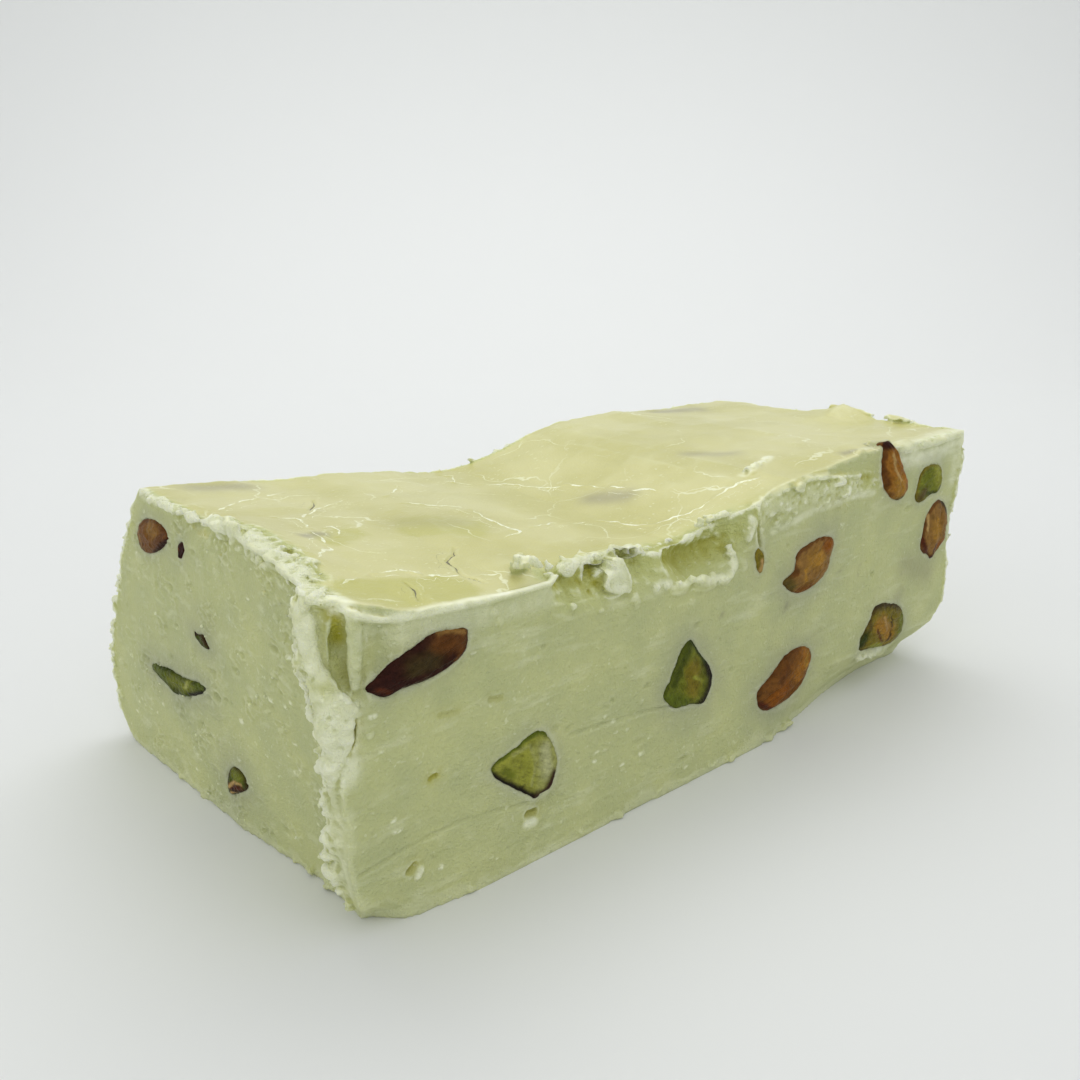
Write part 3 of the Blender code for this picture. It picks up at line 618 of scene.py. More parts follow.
# Soft bands of fudge: the fold that the knife pushed over the upright edge, the smooth roll along the near rim,
# and the ridge that stands up along the left rim. Each has the way its width goes, the way its thickness goes,
# how lumpy it is, and rows of its middle line, half width and half thickness.
SOFT_BANDS = {
    "upright_fold": (
        (0.75, -0.66, 0.0), (-0.66, -0.75, 0.0), 1.7,
        (
            (-1.5, 2.4, 19, 0.4, 0.3), (-1.8, 2.0, 22, 0.9, 0.8), (-1.9, 1.6, 25, 1.3, 1.1),
            (-1.8, 1.3, 28, 1.8, 1.3), (-1.6, 1.35, 30, 2.3, 1.4), (-1.6, 1.4, 31.4, 2.4, 1.4),
            (-1.9, 2.3, 33.6, 1.9, 1.15), (-2.0, 3.6, 35, 1.4, 0.9), (-2.2, 4.4, 36.5, 1.1, 0.8),
            (-2.2, 4.8, 38, 1.1, 0.9), (-2.1, 5.8, 41, 1.3, 0.85), (-1.4, 6.7, 43.3, 1.4, 0.75),
        ),
    ),
    "corner_column": (
        (1.0, 0.0, 0.0), (0.0, -1.0, 0.0), 0.9,
        (
            (1.5, 1.3, 43.2, 0.7, 0.6), (1.5, 1.3, 41, 0.85, 0.8), (1.4, 1.3, 38, 0.85, 0.8),
            (1.3, 1.4, 35.5, 0.8, 0.7), (1.4, 1.5, 33.4, 0.7, 0.5),
        ),
    ),
    "near_roll": (
        (0.0, 1.0, 0.0), (0.0, -0.3, 0.95), 0.55,
        (
            (0.2, 3.4, 43.8, 0.5, 0.3), (0.9, 1.5, 43.0, 0.8, 0.5), (2.5, 0.95, 42.2, 1.05, 0.6),
            (4.5, 0.85, 41.5, 1.0, 0.6), (6.5, 0.75, 41.0, 0.9, 0.55), (10.7, 0.6, 40.75, 0.75, 0.5),
            (15, 0.4, 40.3, 0.6, 0.5), (20.5, 0.3, 39.9, 0.6, 0.55), (26, 0.3, 39.8, 0.6, 0.45),
            (30.5, 0.4, 39.6, 0.5, 0.3),
        ),
    ),
    "left_ridge": (
        (1.0, 0.0, 0.0), (0.0, 0.0, 1.0), 2.2,
        (
            (-0.2, 8.6, 44.3, 0.8, 0.5), (0.5, 13, 45.0, 1.1, 0.55), (0.8, 17, 45.4, 0.8, 0.6),
            (0.6, 21, 45.7, 1.2, 0.5), (0.9, 27, 45.9, 1.0, 0.5), (0.5, 33, 45.7, 0.7, 0.4),
            (0.2, 38, 45.3, 0.4, 0.25),
        ),
    ),
    "band_edge": (
        (0.0, 1.0, 0.0), (0.0, -0.5, 0.86), 1.6,
        (
            (72.6, 0.5, 41.4, 0.5, 0.3), (78, 0.7, 43.0, 0.8, 0.5), (85, 0.8, 43.6, 0.8, 0.5),
            (92, 0.6, 42.8, 0.7, 0.4), (99, 0.5, 41.8, 0.5, 0.25),
        ),
    ),
    "band_body": (
        (0.0, 0.0, 1.0), (0.0, -1.0, 0.0), 2.0,
        (
            (72.8, 0.9, 40.8, 0.9, 0.5), (75.5, 0.7, 41.4, 1.7, 0.8), (79, 0.7, 41.2, 2.2, 0.95),
            (84, 0.8, 41.4, 2.1, 0.9), (90, 0.7, 41.0, 1.9, 0.8), (96, 0.7, 40.6, 1.6, 0.7),
            (102, 0.7, 40.6, 1.3, 0.5), (104.6, 0.9, 41.0, 0.8, 0.3),
        ),
    ),
    "corner_roll": (
        (0.0, 1.0, 0.0), (0.0, -0.6, 0.8), 1.8,
        (
            (112.5, 0.8, 43.6, 0.8, 0.5), (117, 0.9, 43.8, 1.3, 0.9), (124, 1.1, 44.0, 1.6, 0.95),
            (130.2, 1.3, 44.1, 1.4, 0.7),
        ),
    ),
}


def lumpy_band(side, outward, lumpiness, rows):
    """One band of soft fudge along a line, closed at both ends, with a ring of points every ring_step."""
    ring_step, ring_points = 0.35, 24
    side, outward, rows = (np.asarray(given, float) for given in (side, outward, rows))
    run = np.concatenate(([0], np.cumsum(np.linalg.norm(np.diff(rows[:, :3], axis=0), axis=1))))
    places = np.arange(0, run[-1], ring_step)
    x, y, z, width, thick = (np.interp(places, run, column) for column in rows.T)
    turns = np.linspace(0, 2 * np.pi, ring_points, endpoint=False)
    middle = np.stack((x, y, z), 1)[:, None]
    ring = np.cos(turns)[None, :, None] * width[:, None, None] * side
    ring = ring + np.sin(turns)[None, :, None] * thick[:, None, None] * outward
    points = (middle + ring).reshape(-1, 3)
    lumps = 1 + lumpiness * (0.22 * grainy(points, 2.6, 31) + 0.12 * grainy(points, 1.1, 32))
    points = (middle + ring * lumps.reshape(ring.shape[:2])[..., None]).reshape(-1, 3)
    last, faces = (len(places) - 1) * ring_points, []
    for first in range(0, last, ring_points):
        for step in range(ring_points):
            here, there = first + step, first + (step + 1) % ring_points
            faces.append((here, there, there + ring_points, here + ring_points))
    faces += [tuple(range(ring_points))[::-1], tuple(range(last, last + ring_points))]
    return points, faces


# The white lumps that lie along the foot of the long hollow, and single ones by the small pits, the rim and the
# kernels: place and size. Then the wedge of fudge that hangs from the break, as its corners in front and behind.
HOLLOW_LUMPS = (
    (50.3, 0.3, 34.0, 0.45), (52.4, 0.3, 33.7, 0.45), (54.9, 0.2, 33.4, 0.5), (57.3, 0.1, 33.6, 0.65),
    (58.6, 0.2, 33.1, 0.5), (59.9, 0.1, 32.9, 1.05), (61.9, 0.1, 32.6, 0.95), (63.7, 0.1, 32.0, 0.95),
    (65.4, 0.2, 32.1, 1.1), (66.7, 0.3, 33.0, 0.85), (67.0, 0.4, 34.1, 0.85), (66.8, 0.6, 35.3, 0.75),
    (66.5, 0.9, 36.3, 0.6), (45.2, 0.1, 33.6, 0.4), (46.0, 0.1, 32.3, 0.35), (34.2, 0.3, 35.4, 0.5),
    (39.0, 0.0, 33.6, 0.4), (20.6, 0.0, 38.2, 0.5), (21.5, 0.0, 36.6, 0.45), (2.0, -0.1, 27.8, 0.45),
    (27.2, 2.6, 42.6, 0.55), (26.4, 2.6, 42.2, 0.5), (28.2, 2.6, 42.1, 0.5), (104.6, 2.4, 44.6, 0.7),
    (103.4, 2.6, 44.4, 0.5), (64.3, 1.2, 32.5, 0.9), (25.4, -0.3, 6.2, 0.42), (26.5, -0.3, 6.0, 0.38),
    (8.2, -0.3, 6.7, 0.4), (7.7, -0.3, 6.0, 0.36),
)
HANGING_WEDGE = (
    (
        (42.7, 1.2, 40.0), (42.0, 0.6, 38.4), (40.5, 0.2, 37.9), (39.8, 0.1, 36.6), (40.9, -0.1, 35.8),
        (42.9, -0.2, 35.1), (44.5, -0.1, 34.6), (45.2, 0.1, 36.0), (44.5, 0.3, 37.5), (43.9, 0.9, 39.7),
    ),
    ((42.6, 4.0, 39.6), (41.2, 4.0, 36.6), (44.4, 4.0, 36.0)),
)
WEDGE_OUTLINE = np.array([(x, z) for x, _, z in HANGING_WEDGE[0]])
WEDGE_MIDDLE, WEDGE_REACH = np.array((43.0, 0.0, 37.0)), np.array((5.0, 2.6, 3.4))


def soft_lumps():
    """The single lumps, each a ball with dents."""
    round_points, round_faces = round_lump(2)
    for *place, size in HOLLOW_LUMPS:
        shape = size * (1 + 0.55 * grainy(round_points + np.array(place), 0.8, 33))
        yield round_points * shape[:, None] + place, round_faces


def hanging_wedge():
    """The wedge, as the smallest bulging body round its corners."""
    shape = bmesh.new()
    for corner in HANGING_WEDGE[0] + HANGING_WEDGE[1]:
        shape.verts.new(corner)
    bmesh.ops.convex_hull(shape, input=shape.verts)
    shape.verts.index_update()
    return shape_arrays(shape)


def pocket_fillings():
    """Fills the block's pockets flush with its faces. The pockets are sunk again later, to the kernels' outlines."""
    for node in kernel_nodes:
        along, across, side = face_of(node)
        points, faces = merged_copy(node)
        spread = points - points.mean(0)
        spread *= 1 + 0.8 / np.maximum(np.ptp(points, axis=0), 3.0)
        points = points.mean(0) + spread
        surface = side * face_plane(node)(points[:, along], points[:, HIGH_AXIS]) + 0.05
        points[:, across] = side * np.minimum(side * points[:, across], surface)
        yield points, faces


block_points, block_faces = merged_copy("fudge_slab")
block_tree = BVHTree.FromPolygons([Vector(point) for point in block_points], block_faces)


def face_plane(node):
    """Where the block's face lies round a kernel: a function of the places along the face and up."""
    along, across, side = face_of(node)
    outline = round_outline(KERNEL_FORMS[node]["outline"], 24)
    middle = outline.mean(0)
    found = []
    for reach in (1.8, 2.6):
        for point in outline:
            away = point - middle
            place = point + away / np.linalg.norm(away) * reach
            start = np.zeros(3)
            start[along], start[HIGH_AXIS] = place
            start[across] = side * 200
            facing = np.zeros(3)
            facing[across] = -side
            hit = block_tree.ray_cast(Vector(start), Vector(facing))[0]
            if hit is not None:
                found.append((*place, hit[across]))
    found = np.array(found)
    kept = found[np.abs(found[:, 2] - np.median(found[:, 2])) < 1.2]
    terms = np.column_stack((np.ones(len(kept)), kept[:, 0] - middle[0], kept[:, 1] - middle[1]))
    level, slope, lean = np.linalg.lstsq(terms, kept[:, 2], rcond=None)[0]
    return lambda place, height: level + slope * (place - middle[0]) + lean * (height - middle[1])


def near_kernel(points, node, margin):
    """The numbers of the points on the face round a kernel, and how far inside its outline each of them is."""
    along, across, _ = face_of(node)
    outline = round_outline(KERNEL_FORMS[node]["outline"], 48)
    flat = points[:, (along, HIGH_AXIS)]
    level = face_plane(node)(flat[:, 0], flat[:, 1])
    close_by = ((flat > outline.min(0) - margin) & (flat < outline.max(0) + margin)).all(1)
    near = np.flatnonzero(close_by & (np.abs(points[:, across] - level) < 3))
    return near, edge_depth(flat[near], outline)


parts = [(block_points, block_faces), torn_flakes(), hanging_wedge(), *soft_lumps(), *pocket_fillings()]
parts += [lumpy_band(*band) for band in SOFT_BANDS.values()]
all_points, all_faces, used = [], [], 0
for points, faces in parts:
    all_points.append(points)
    all_faces += [[corner + used for corner in face] for face in faces]
    used += len(points)
block = new_object("fudge_block", new_mesh("fudge_block_parts", np.concatenate(all_points), all_faces))
as_one_body = block.modifiers.new("as_one_body", "REMESH")
as_one_body.mode = "VOXEL"
as_one_body.voxel_size = VOXEL
as_one_body.use_smooth_shade = True
take_up_modifiers(block)

# The surface of the block. Crumbs tear along the edges, the cut faces have pits where air was and fine marks
# where the knife dragged, and the skin has slow swells, hairline cracks and a few ridges.
TORN_PATHS = (
    (((-2.6, 4.8, 1), (-2.6, 4.6, 12), (-2.5, 5.0, 18), (-2.4, 3.4, 25), (-2.3, 5.0, 32), (-1.6, 7.5, 41)), 1.5, 1.0),
    (((-0.8, 9.5, 29), (-0.5, 10.5, 36), (-0.4, 10.5, 42)), 1.5, 0.8),
    (((-1.0, 8.5, 43.8), (0.0, 5.4, 44.2)), 2.0, 0.9),
    (((-1.8, 2.0, 24), (-1.4, 1.6, 28), (-1.2, 1.8, 32)), 2.4, 0.7),
    (((32, 2.4, 38.4), (40, 3.0, 37.4), (52, 3.4, 36.6), (60, 3.6, 36.2), (69, 1.8, 38.5)), 3.2, 0.3),
    (((36.8, 3.7, 39.8), (42.9, 3.2, 39.9), (49.5, 3.6, 39.0), (58, 5.0, 38.4), (68, 3.0, 41.2)), 0.8, 0.9),
    (((72, 0.3, 40.2), (78, 0.3, 41.0), (86, 0.3, 41.6), (95, 0.3, 41.0), (104, 0.3, 40.0)), 2.1, 0.6),
    (((1.2, 10, 44.5), (1.8, 17, 45.5), (1.5, 26, 45.9), (0.9, 34, 45.6)), 2.2, 1.0),
    (((0.4, 34, 45.5), (0.3, 40, 45.1), (0, 58, 44.6)), 1.3, 0.8),
    (((-3, 73, 5), (-2.6, 73, 16), (-1.5, 69, 28), (-0.2, 63, 41)), 1.3, 1.0),
    (((131.2, 1, 6), (131.3, 0.5, 20), (130.3, 0.4, 29), (132, 0.4, 42)), 1.1, 0.8),
    (((108, 0.4, 44.5), (131, 0.5, 44.5), (132, 20, 44.0), (132, 58, 41.0)), 0.7, 0.7),
    (((2, 60, 44.1), (30, 60, 41.1), (57, 60, 37.7), (84, 60, 42.6), (128, 60, 40.8)), 0.8, 0.7),
)
# Hollows torn into the fudge: the middle line of each, its half width, its depth, and how yellow it looks: how
# strongly it is painted darker and yellower as painted shade.
HOLLOWS = (
    (((-0.8, 2.0, 43.0), (-0.6, 2.0, 41.4), (-0.5, 2.0, 39.2)), 0.85, 3.4, 1.0),
    (((-0.4, 2.4, 38.4), (0.2, 2.2, 36.6), (0.9, 2.0, 35.0)), 1.0, 0.4, 0.6),
    (((3.0, 2.0, 39.5), (2.9, 2.0, 37.0), (2.4, 1.6, 35.0)), 0.7, 0.5, 0.45),
    (((0.2, 0.7, 29.4), (-0.3, 0.8, 27.0)), 0.5, 0.8, 1.0),
    (((32.4, 2.6, 39.6), (32.6, 2.0, 38.2)), 0.7, 0.6, 0.6),
    (((36.5, 2.6, 37.6), (38.0, 2.4, 37.2)), 1.5, 0.3, 0.4),
    (((38.2, 1.6, 35.8), (38.1, 1.2, 33.8)), 0.35, 0.8, 0.6),
    (((39.4, 3.0, 38.4), (39.6, 2.4, 36.6)), 0.9, 0.5, 0.5),
    (((55.0, 3.0, 36.4), (60.0, 3.6, 35.4), (66.0, 3.4, 35.6)), 1.9, 0.9, 0.5),
    (((71.6, 0.6, 41.2), (72.4, 0.4, 38.0), (73.2, 0.2, 35.2)), 0.35, 1.2, 0.5),
    (((91.6, 1.0, 38.4), (94.8, 1.0, 38.2)), 0.7, 0.4, 0.4),
    (((99.6, 0.8, 41.2), (102.0, 0.8, 41.0)), 0.8, 0.5, 0.5),
    (((25.6, -0.4, 7.4), (27.0, -0.4, 7.2)), 0.5, 1.1, 0.8),
    (((6.6, -0.4, 7.0), (7.3, -0.4, 7.5)), 0.52, 1.1, 0.7),
    (((10.2, -0.1, 18.7), (11.2, -0.1, 18.9)), 0.28, 0.6, 0.9),
    (((12.0, 0.0, 26.9), (14.6, 0.0, 26.4)), 0.36, 0.3, 0.3),
    (((19.8, 0.0, 26.5), (21.4, 0.0, 26.2)), 0.4, 0.35, 0.3),
)
# What looks nearly white: thick folds, rolls and lumps that stand clear, white as torn fudge and brighter with
# painted light where they face the lamps. Each has its line, its reach and how pale.
PALE_AND_LIT_PLACES = (
    (((-1.6, 1.8, 24), (-1.6, 1.2, 28.5), (-1.4, 1.0, 31.5)), 2.8, 1.0),
    (((-1.7, 3.8, 34.8), (-2.6, 4.6, 38), (-2.5, 5.6, 41), (-1.6, 6.6, 43.6)), 1.5, 0.9),
    (((-1.2, 8.6, 44.6), (-0.2, 6.0, 44.6), (0.5, 4.2, 44.2), (0.9, 1.8, 43.4)), 1.5, 1.0),
    (
        (
            (0.9, 1.2, 43.2), (2.5, 0.4, 42.4), (4.5, 0.2, 41.7), (8, 0.2, 41.1), (15, 0.2, 40.6), (24, 0.2, 40.2),
            (30.5, 0.3, 39.9),
        ),
        0.75, 1.0,
    ),
    (((2.5, 0, 40), (12, 0, 38.9), (20, 0, 38.6), (30, 0, 38.3)), 2.0, 0.40),
    (((0.2, 10, 44.8), (0.4, 14, 45.4), (0.4, 27, 46.3), (0.3, 36, 45.7)), 1.6, 1.0),
    (((0.0, 37, 45.3), (0.0, 58, 44.6)), 0.9, 0.6),
    (((-2.0, 4.2, 2), (-2.5, 4.2, 15), (-2.4, 4.6, 26), (-2.6, 5.4, 34)), 1.5, 1.0),
    (((-1.8, 2.4, 6), (-1.9, 2.3, 22)), 1.8, 0.5),
    (((26.4, 2.6, 42.4), (27.4, 2.6, 43.4), (28.4, 2.6, 42.4), (31.5, 2.0, 41.2)), 1.4, 1.0),
    (((112, 0.6, 43.2), (118, 0.4, 43.0), (125, 0.4, 43.4), (131, 0.6, 43.6)), 2.8, 0.85),
    (((130.8, 0.3, 43), (129.6, 0.2, 36)), 1.6, 0.5),
    (((103.8, 0.0, 6.8), (111.4, 0.0, 6.2)), 0.9, 0.8),
    (((25.2, -0.5, 6.2), (26.6, -0.5, 6.0)), 0.65, 0.9),
    (((8.2, -0.5, 6.8), (7.7, -0.5, 6.0)), 0.6, 0.9),
    (((74, 0.4, 40.6), (80, 0.3, 41), (88, 0.3, 41), (98, 0.3, 40.4)), 2.0, 0.45),
    (((36.8, 3.7, 40.0), (42.9, 3.2, 40.1), (49.5, 3.6, 39.3)), 0.8, 1.0),
    (((42.4, 0.6, 38.0), (42.6, -0.2, 35.6)), 2.0, 0.85),
    (
        (
            (50.3, 0.1, 34.0), (57.3, 0.0, 33.6), (61.6, -0.2, 32.5), (65.3, -0.2, 31.9), (66.9, 0.1, 33.6),
            (66.4, 0.6, 35.9),
        ),
        0.9, 0.95,
    ),
    (((78.2, 8.4, 44.4), (82.3, 9.0, 45.0), (88.6, 11.6, 44.6)), 1.0, 1.0),
    (((102.6, 2.6, 44.6), (107.4, 2.0, 44.6)), 1.0, 0.9),
    (((73, 0.4, 41.8), (78, 0.6, 43.3), (85, 0.6, 43.9), (92, 0.5, 43.0)), 0.7, 0.6),
    (((76, 0.0, 37.0), (86, 0.0, 38.3), (96, 0.0, 38.7), (103, 0.0, 38.2)), 0.7, 0.7),
)
# Lines that the knife dragged across the long cut, and the dark and pale cracks of the skin: each is a path drawn
# straight between its corners. The wanders are seeds, and the amount and grain of the coarse and the fine winding.
DRAG_LINES = (
    ((-0.5, 9.6), (6.0, 10.6), (13.9, 11.1), (20.0, 10.3), (25.6, 9.3)),
    ((33.5, 16.6), (47.2, 15.4), (61.7, 12.6)),
)
DARK_CRACKS = (
    ((26.7, 16.3), (25.0, 14.4), (23.0, 13.0), (22.4, 10.0), (21.4, 8.2)),
    ((21.4, 8.2), (21.9, 6.4), (22.6, 4.6)),
    ((12.9, 7.6), (12.4, 5.0), (11.1, 2.4)),
    ((21.9, 46.3), (19.5, 42.6), (17.4, 39.8)),
)
DARK_WANDER = ((55, 57), (0.35, 1.8), (0.12, 0.7))
PALE_CRACKS = (
    ((31.7, 37.4), (36.4, 33.4), (39.9, 32.3), (39.6, 26.0), (38.6, 17.2), (34.7, 16.5)),
    ((42.2, 19.4), (47.7, 19.4), (56.4, 18.4), (60.6, 11.8), (68.0, 7.7), (75.0, 6.8), (80.2, 5.5)),
    ((49.6, 51.6), (58.0, 45.7), (64.1, 35.8), (66.6, 27.1), (68.9, 17.8)),
    ((13.7, 11.5), (15.4, 9.8), (18.3, 8.6), (19.9, 9.2)),
    ((3.6, 7.4), (10.1, 10.9), (14.2, 11.0), (17.1, 8.5), (21.0, 7.6), (27.0, 6.0)),
    ((12.5, 35.1), (19.3, 40.4), (26.1, 45.1)),
    ((9.6, 38.9), (12.8, 33.9), (9.5, 19.9), (4.6, 14.4)),
    ((14.0, 29.1), (16.2, 29.9), (15.4, 27.3), (12.9, 24.2)),
    ((32.0, 42.6), (35.1, 44.7), (39.4, 49.6)),
    ((52.2, 57.0), (54.6, 55.0), (51.1, 50.1)),
    ((-0.5, 37.1), (4.2, 42.2), (12.0, 47.7), (19.2, 52.0)),
)
PALE_WANDER = ((51, 53), (0.9, 4.5), (0.45, 1.7))


def inward(hollow_path):
    """The way a hollow goes into the block: slantwise beside the upright edge, straight in elsewhere."""
    return np.array((0.55, 0.83, 0.0) if hollow_path[0][0] < 5 else (0.0, 0.98, 0.2))


def ridged(points, grain, seed):
    """Sharp crests at 1, with rounded hollows between them down to about -1."""
    return 1 - 2.4 * np.abs(grainy(points, grain, seed))


def wandered(points, seeds, coarse, fine):
    """The points moved about on the top, so that a path drawn straight winds. coarse and fine: amount, grain."""
    flat = points * (1, 1, 0)
    shift = [coarse[0] * grainy(flat, coarse[1], seed) + fine[0] * grainy(flat, fine[1], seed + 1) for seed in seeds]
    return points + np.stack((*shift, np.zeros(len(points))), 1)


def torn_share(points):
    """How torn the surface is at each point, and how rough that makes it."""
    share, rough = np.zeros(len(points)), np.zeros(len(points))
    for path, reach, roughness in TORN_PATHS:
        here = np.exp(-((distance_to(points, path) / reach) ** 2))
        share, rough = np.maximum(share, here), np.maximum(rough, roughness * here)
    return share, rough


def pale_share(points):
    """How nearly white the surface is at each point: the white of torn fudge and painted light."""
    share = np.zeros(len(points))
    for path, reach, most in PALE_AND_LIT_PLACES:
        share = np.maximum(share, most * np.exp(-((distance_to(points, path) / reach) ** 4)))
    return share


# Where the two cut faces have air pits and torn flecks, in drifts: the drift's middle, its reach along and up,
# and how many it holds.
PIT_DRIFTS = {
    "front": (
        (41, 11, 8, 6, 30), (28, 6, 4, 2, 10), (7, 7, 3, 2, 6), (90, 22, 26, 12, 34), (60, 24, 30, 12, 30),
        (103, 25, 3, 2, 5), (93.5, 36.5, 1.5, 1, 3),
    ),
    "left": ((33, 18, 8, 8, 26), (28, 5, 6, 3, 10), (16, 34, 3, 5, 26), (38, 30, 12, 12, 28), (52, 20, 8, 14, 20)),
}
FLECK_DRIFTS = {
    "front": (
        (24, 30, 16, 6, 12), (60, 8, 30, 5, 14), (41, 12.5, 3.4, 3.2, 40), (95, 28, 20, 9, 14), (8, 20, 5, 10, 8),
    ),
    "left": (
        (16, 34, 4, 6, 26), (12, 22, 5, 8, 22), (62, 8, 6, 7, 26), (45, 10, 9, 5, 20), (30, 20, 14, 12, 26),
        (60, 28, 5, 10, 14),
    ),
}


def scattered(points, normals, drifts, seed, largest):
    """How far each point is pushed by small dents or flecks that lie in drifts on the faces, flattened along."""
    draw = np.random.default_rng(seed)
    depth = np.zeros(len(points))
    for face, places in drifts.items():
        across, facing = (0, -normals[:, 1]) if face == "front" else (1, -normals[:, 0])
        on_face = np.flatnonzero(facing > 0.6)
        flat = points[on_face][:, (across, 2)]
        for x, z, wide, high, count in places:
            for _ in range(count):
                radius = 0.16 + largest * draw.random() ** 3
                middle = np.array((x, z)) + draw.normal(0, 1, 2) * (wide, high)
                apart = (flat - middle) / (radius * draw.uniform(1.0, 2.2), radius * draw.uniform(0.6, 1.0))
                near = np.flatnonzero(np.abs(apart).max(1) < 2.5)
                dent = np.exp(-((apart[near] ** 2).sum(1) ** 1.5)) * radius * draw.uniform(0.4, 0.9)
                depth[on_face[near]] = np.maximum(depth[on_face[near]], dent)
    return depth


def shaped_surface(points, normals):
    """Moves the block's points, and says where it has to stay finely meshed."""
    top = smooth(normals[:, 2], 0.5, 0.8)
    front = smooth(-normals[:, 1], 0.6, 0.85)
    cut = smooth(np.maximum(-normals[:, 1], np.abs(normals[:, 0])), 0.6, 0.85)
    torn, rough = torn_share(points)
    fine = np.maximum(torn, pale_share(points))
    rise = rough * (0.34 * ridged(points, 2.8, 1) + 0.20 * ridged(points, 1.3, 2) + 0.04 * grainy(points, 0.6, 3))
    rise += (1 - torn) * cut * (0.10 * grainy(points, 3.4, 4) + 0.05 * grainy(points, 1.4, 24))
    drag = grainy(points, (9.0, 9.0, 0.75), 5) * smooth(grainy(points, 14.0, 6), -0.1, 0.4)
    rise += 0.09 * front * (1 - torn) * drag
    left = smooth(-normals[:, 0], 0.6, 0.85)
    ridges = ridged(points, (2.4, 2.4, 1.3), 14)
    rise += 0.15 * left * (1 - torn) * ridges * smooth(grainy(points, 9.0, 15), -0.2, 0.3)
    clusters = left * (1 - torn) * smooth(grainy(points, 5.0, 29), 0.10, 0.40)
    rise += 0.30 * clusters * ridged(points, (1.3, 1.3, 0.9), 28)
    fine = np.maximum(fine, 0.5 * clusters)
    pits = scattered(points, normals, PIT_DRIFTS, 7, 0.45)
    flecks = scattered(points, normals, FLECK_DRIFTS, 8, 0.30)
    rise += (0.8 * flecks - 1.3 * pits) * (1 - torn)
    for line in DRAG_LINES:
        flat = points[:, (0, 2)]
        away = distance_to(flat, line) + 0.12 * grainy(points, 1.6, 16)
        groove = np.exp(-((away / 0.22) ** 2)) * front * smooth(grainy(points, 4.0, 17), -0.8, -0.1)
        rise -= 0.32 * groove
        fine = np.maximum(fine, np.exp(-((away / 0.6) ** 2)) * front)
    streaks = np.exp(-((distance_to(points, ((33, 3, 37.6), (53, 3, 36), (68, 3, 36.5))) / 3.0) ** 4))
    rise += streaks * (0.46 * grainy(points, (2.2, 5.0, 20.0), 9) + 0.14 * grainy(points, (1.1, 3.0, 9.0), 27))
    skin = top * smooth(points[:, 2], *SKIN_HEIGHTS) * (1 - smooth(torn, 0.25, 0.7))
    rise += skin * (0.22 * grainy(points, 9.0, 10) + 0.08 * grainy(points, 3.2, 18))
    wandering = wandered(points, *PALE_WANDER)
    for path in PALE_CRACKS:
        away = distance_to(wandering, path)
        rise += 0.12 * top * np.exp(-((away / 0.3) ** 2)) * smooth(grainy(points, 1.6, 12), -0.2, 0.3)
        fine = np.maximum(fine, 0.8 * top * np.exp(-((away / 0.5) ** 2)))
    wandering = wandered(points, *DARK_WANDER)
    for path in DARK_CRACKS:
        away = distance_to(wandering, path)
        rise -= 0.30 * top * np.exp(-((away / 0.22) ** 2))
        fine = np.maximum(fine, top * np.exp(-((away / 0.7) ** 2)))
    grounded = smooth(points[:, 2], 0.0, 1.2)
    moved = points + normals * (rise * grounded)[:, None]
    for path, half_width, depth, _ in HOLLOWS:
        away = distance_to(points, path) + 0.25 * half_width * grainy(points, 0.9, 19)
        sunk = np.exp(-((away / half_width) ** 3)) * depth * (1 + 0.15 * grainy(points, (1.2, 1.2, 4.0), 20))
        moved = moved + inward(path) * sunk[:, None]
        fine = np.maximum(fine, np.exp(-((away / half_width / 1.3) ** 4)))
    near = np.flatnonzero((np.abs(points - WEDGE_MIDDLE) < WEDGE_REACH).all(1))
    inside = edge_depth(points[near][:, (0, 2)], WEDGE_OUTLINE)
    behind = np.clip(points[near, 2] - 34.2, 0.0, 4.4)
    front_of = behind + (-0.1 - behind) * smooth(inside, -0.5, 0.1)
    moved[near, 1] = np.maximum(moved[near, 1], front_of - 0.3)
    fine = np.maximum(fine, smooth(np.maximum(pits, 0.8 * flecks), 0.03, 0.12))
    for node in kernel_nodes:
        _, across, side = face_of(node)
        near, inside = near_kernel(points, node, 3)
        ragged = 0.5 + 0.5 * grainy(points[near], 1.3, 41)
        bank = np.exp(-((np.minimum(inside, 0) / 0.9) ** 2)) * (0.02 + 0.20 * ragged)
        bank = bank - 0.14 * np.exp(-((inside / 0.3) ** 2))
        bank = bank - 1.6 * smooth(inside + 0.28 * grainy(points[near], 0.9, 42), 0.10, 0.55)
        moved[near, across] += side * bank
        fine[near] = np.maximum(fine[near], np.exp(-((inside / 0.8) ** 2)))
    moved[:, HIGH_AXIS] = np.maximum(moved[:, HIGH_AXIS], 0.0)
    return moved, fine


points, normals, edges = mesh_arrays(block.data)
points, fine = shaped_surface(points, normals)
block.data.vertices.foreach_set("co", points.ravel())
block.data.update()

# The block's mesh, thinned out where the surface is plain and kept fine where it is torn, pitted or cracked.
# Each point's share in the group coarse says how readily the thinning may take it.
coarse = block.vertex_groups.new(name="coarse")
steps = np.round((1 - fine) * 10).astype(int)
for step in range(11):
    coarse.add(np.flatnonzero(steps == step).tolist(), step / 10, "REPLACE")
thin_out = block.modifiers.new("thin_out", "DECIMATE")
thin_out.ratio = min(1.0, KEPT_FACES / len(block.data.polygons))
thin_out.vertex_group = "coarse"
thin_out.vertex_group_factor = 1.0
take_up_modifiers(block)
block.vertex_groups.clear()
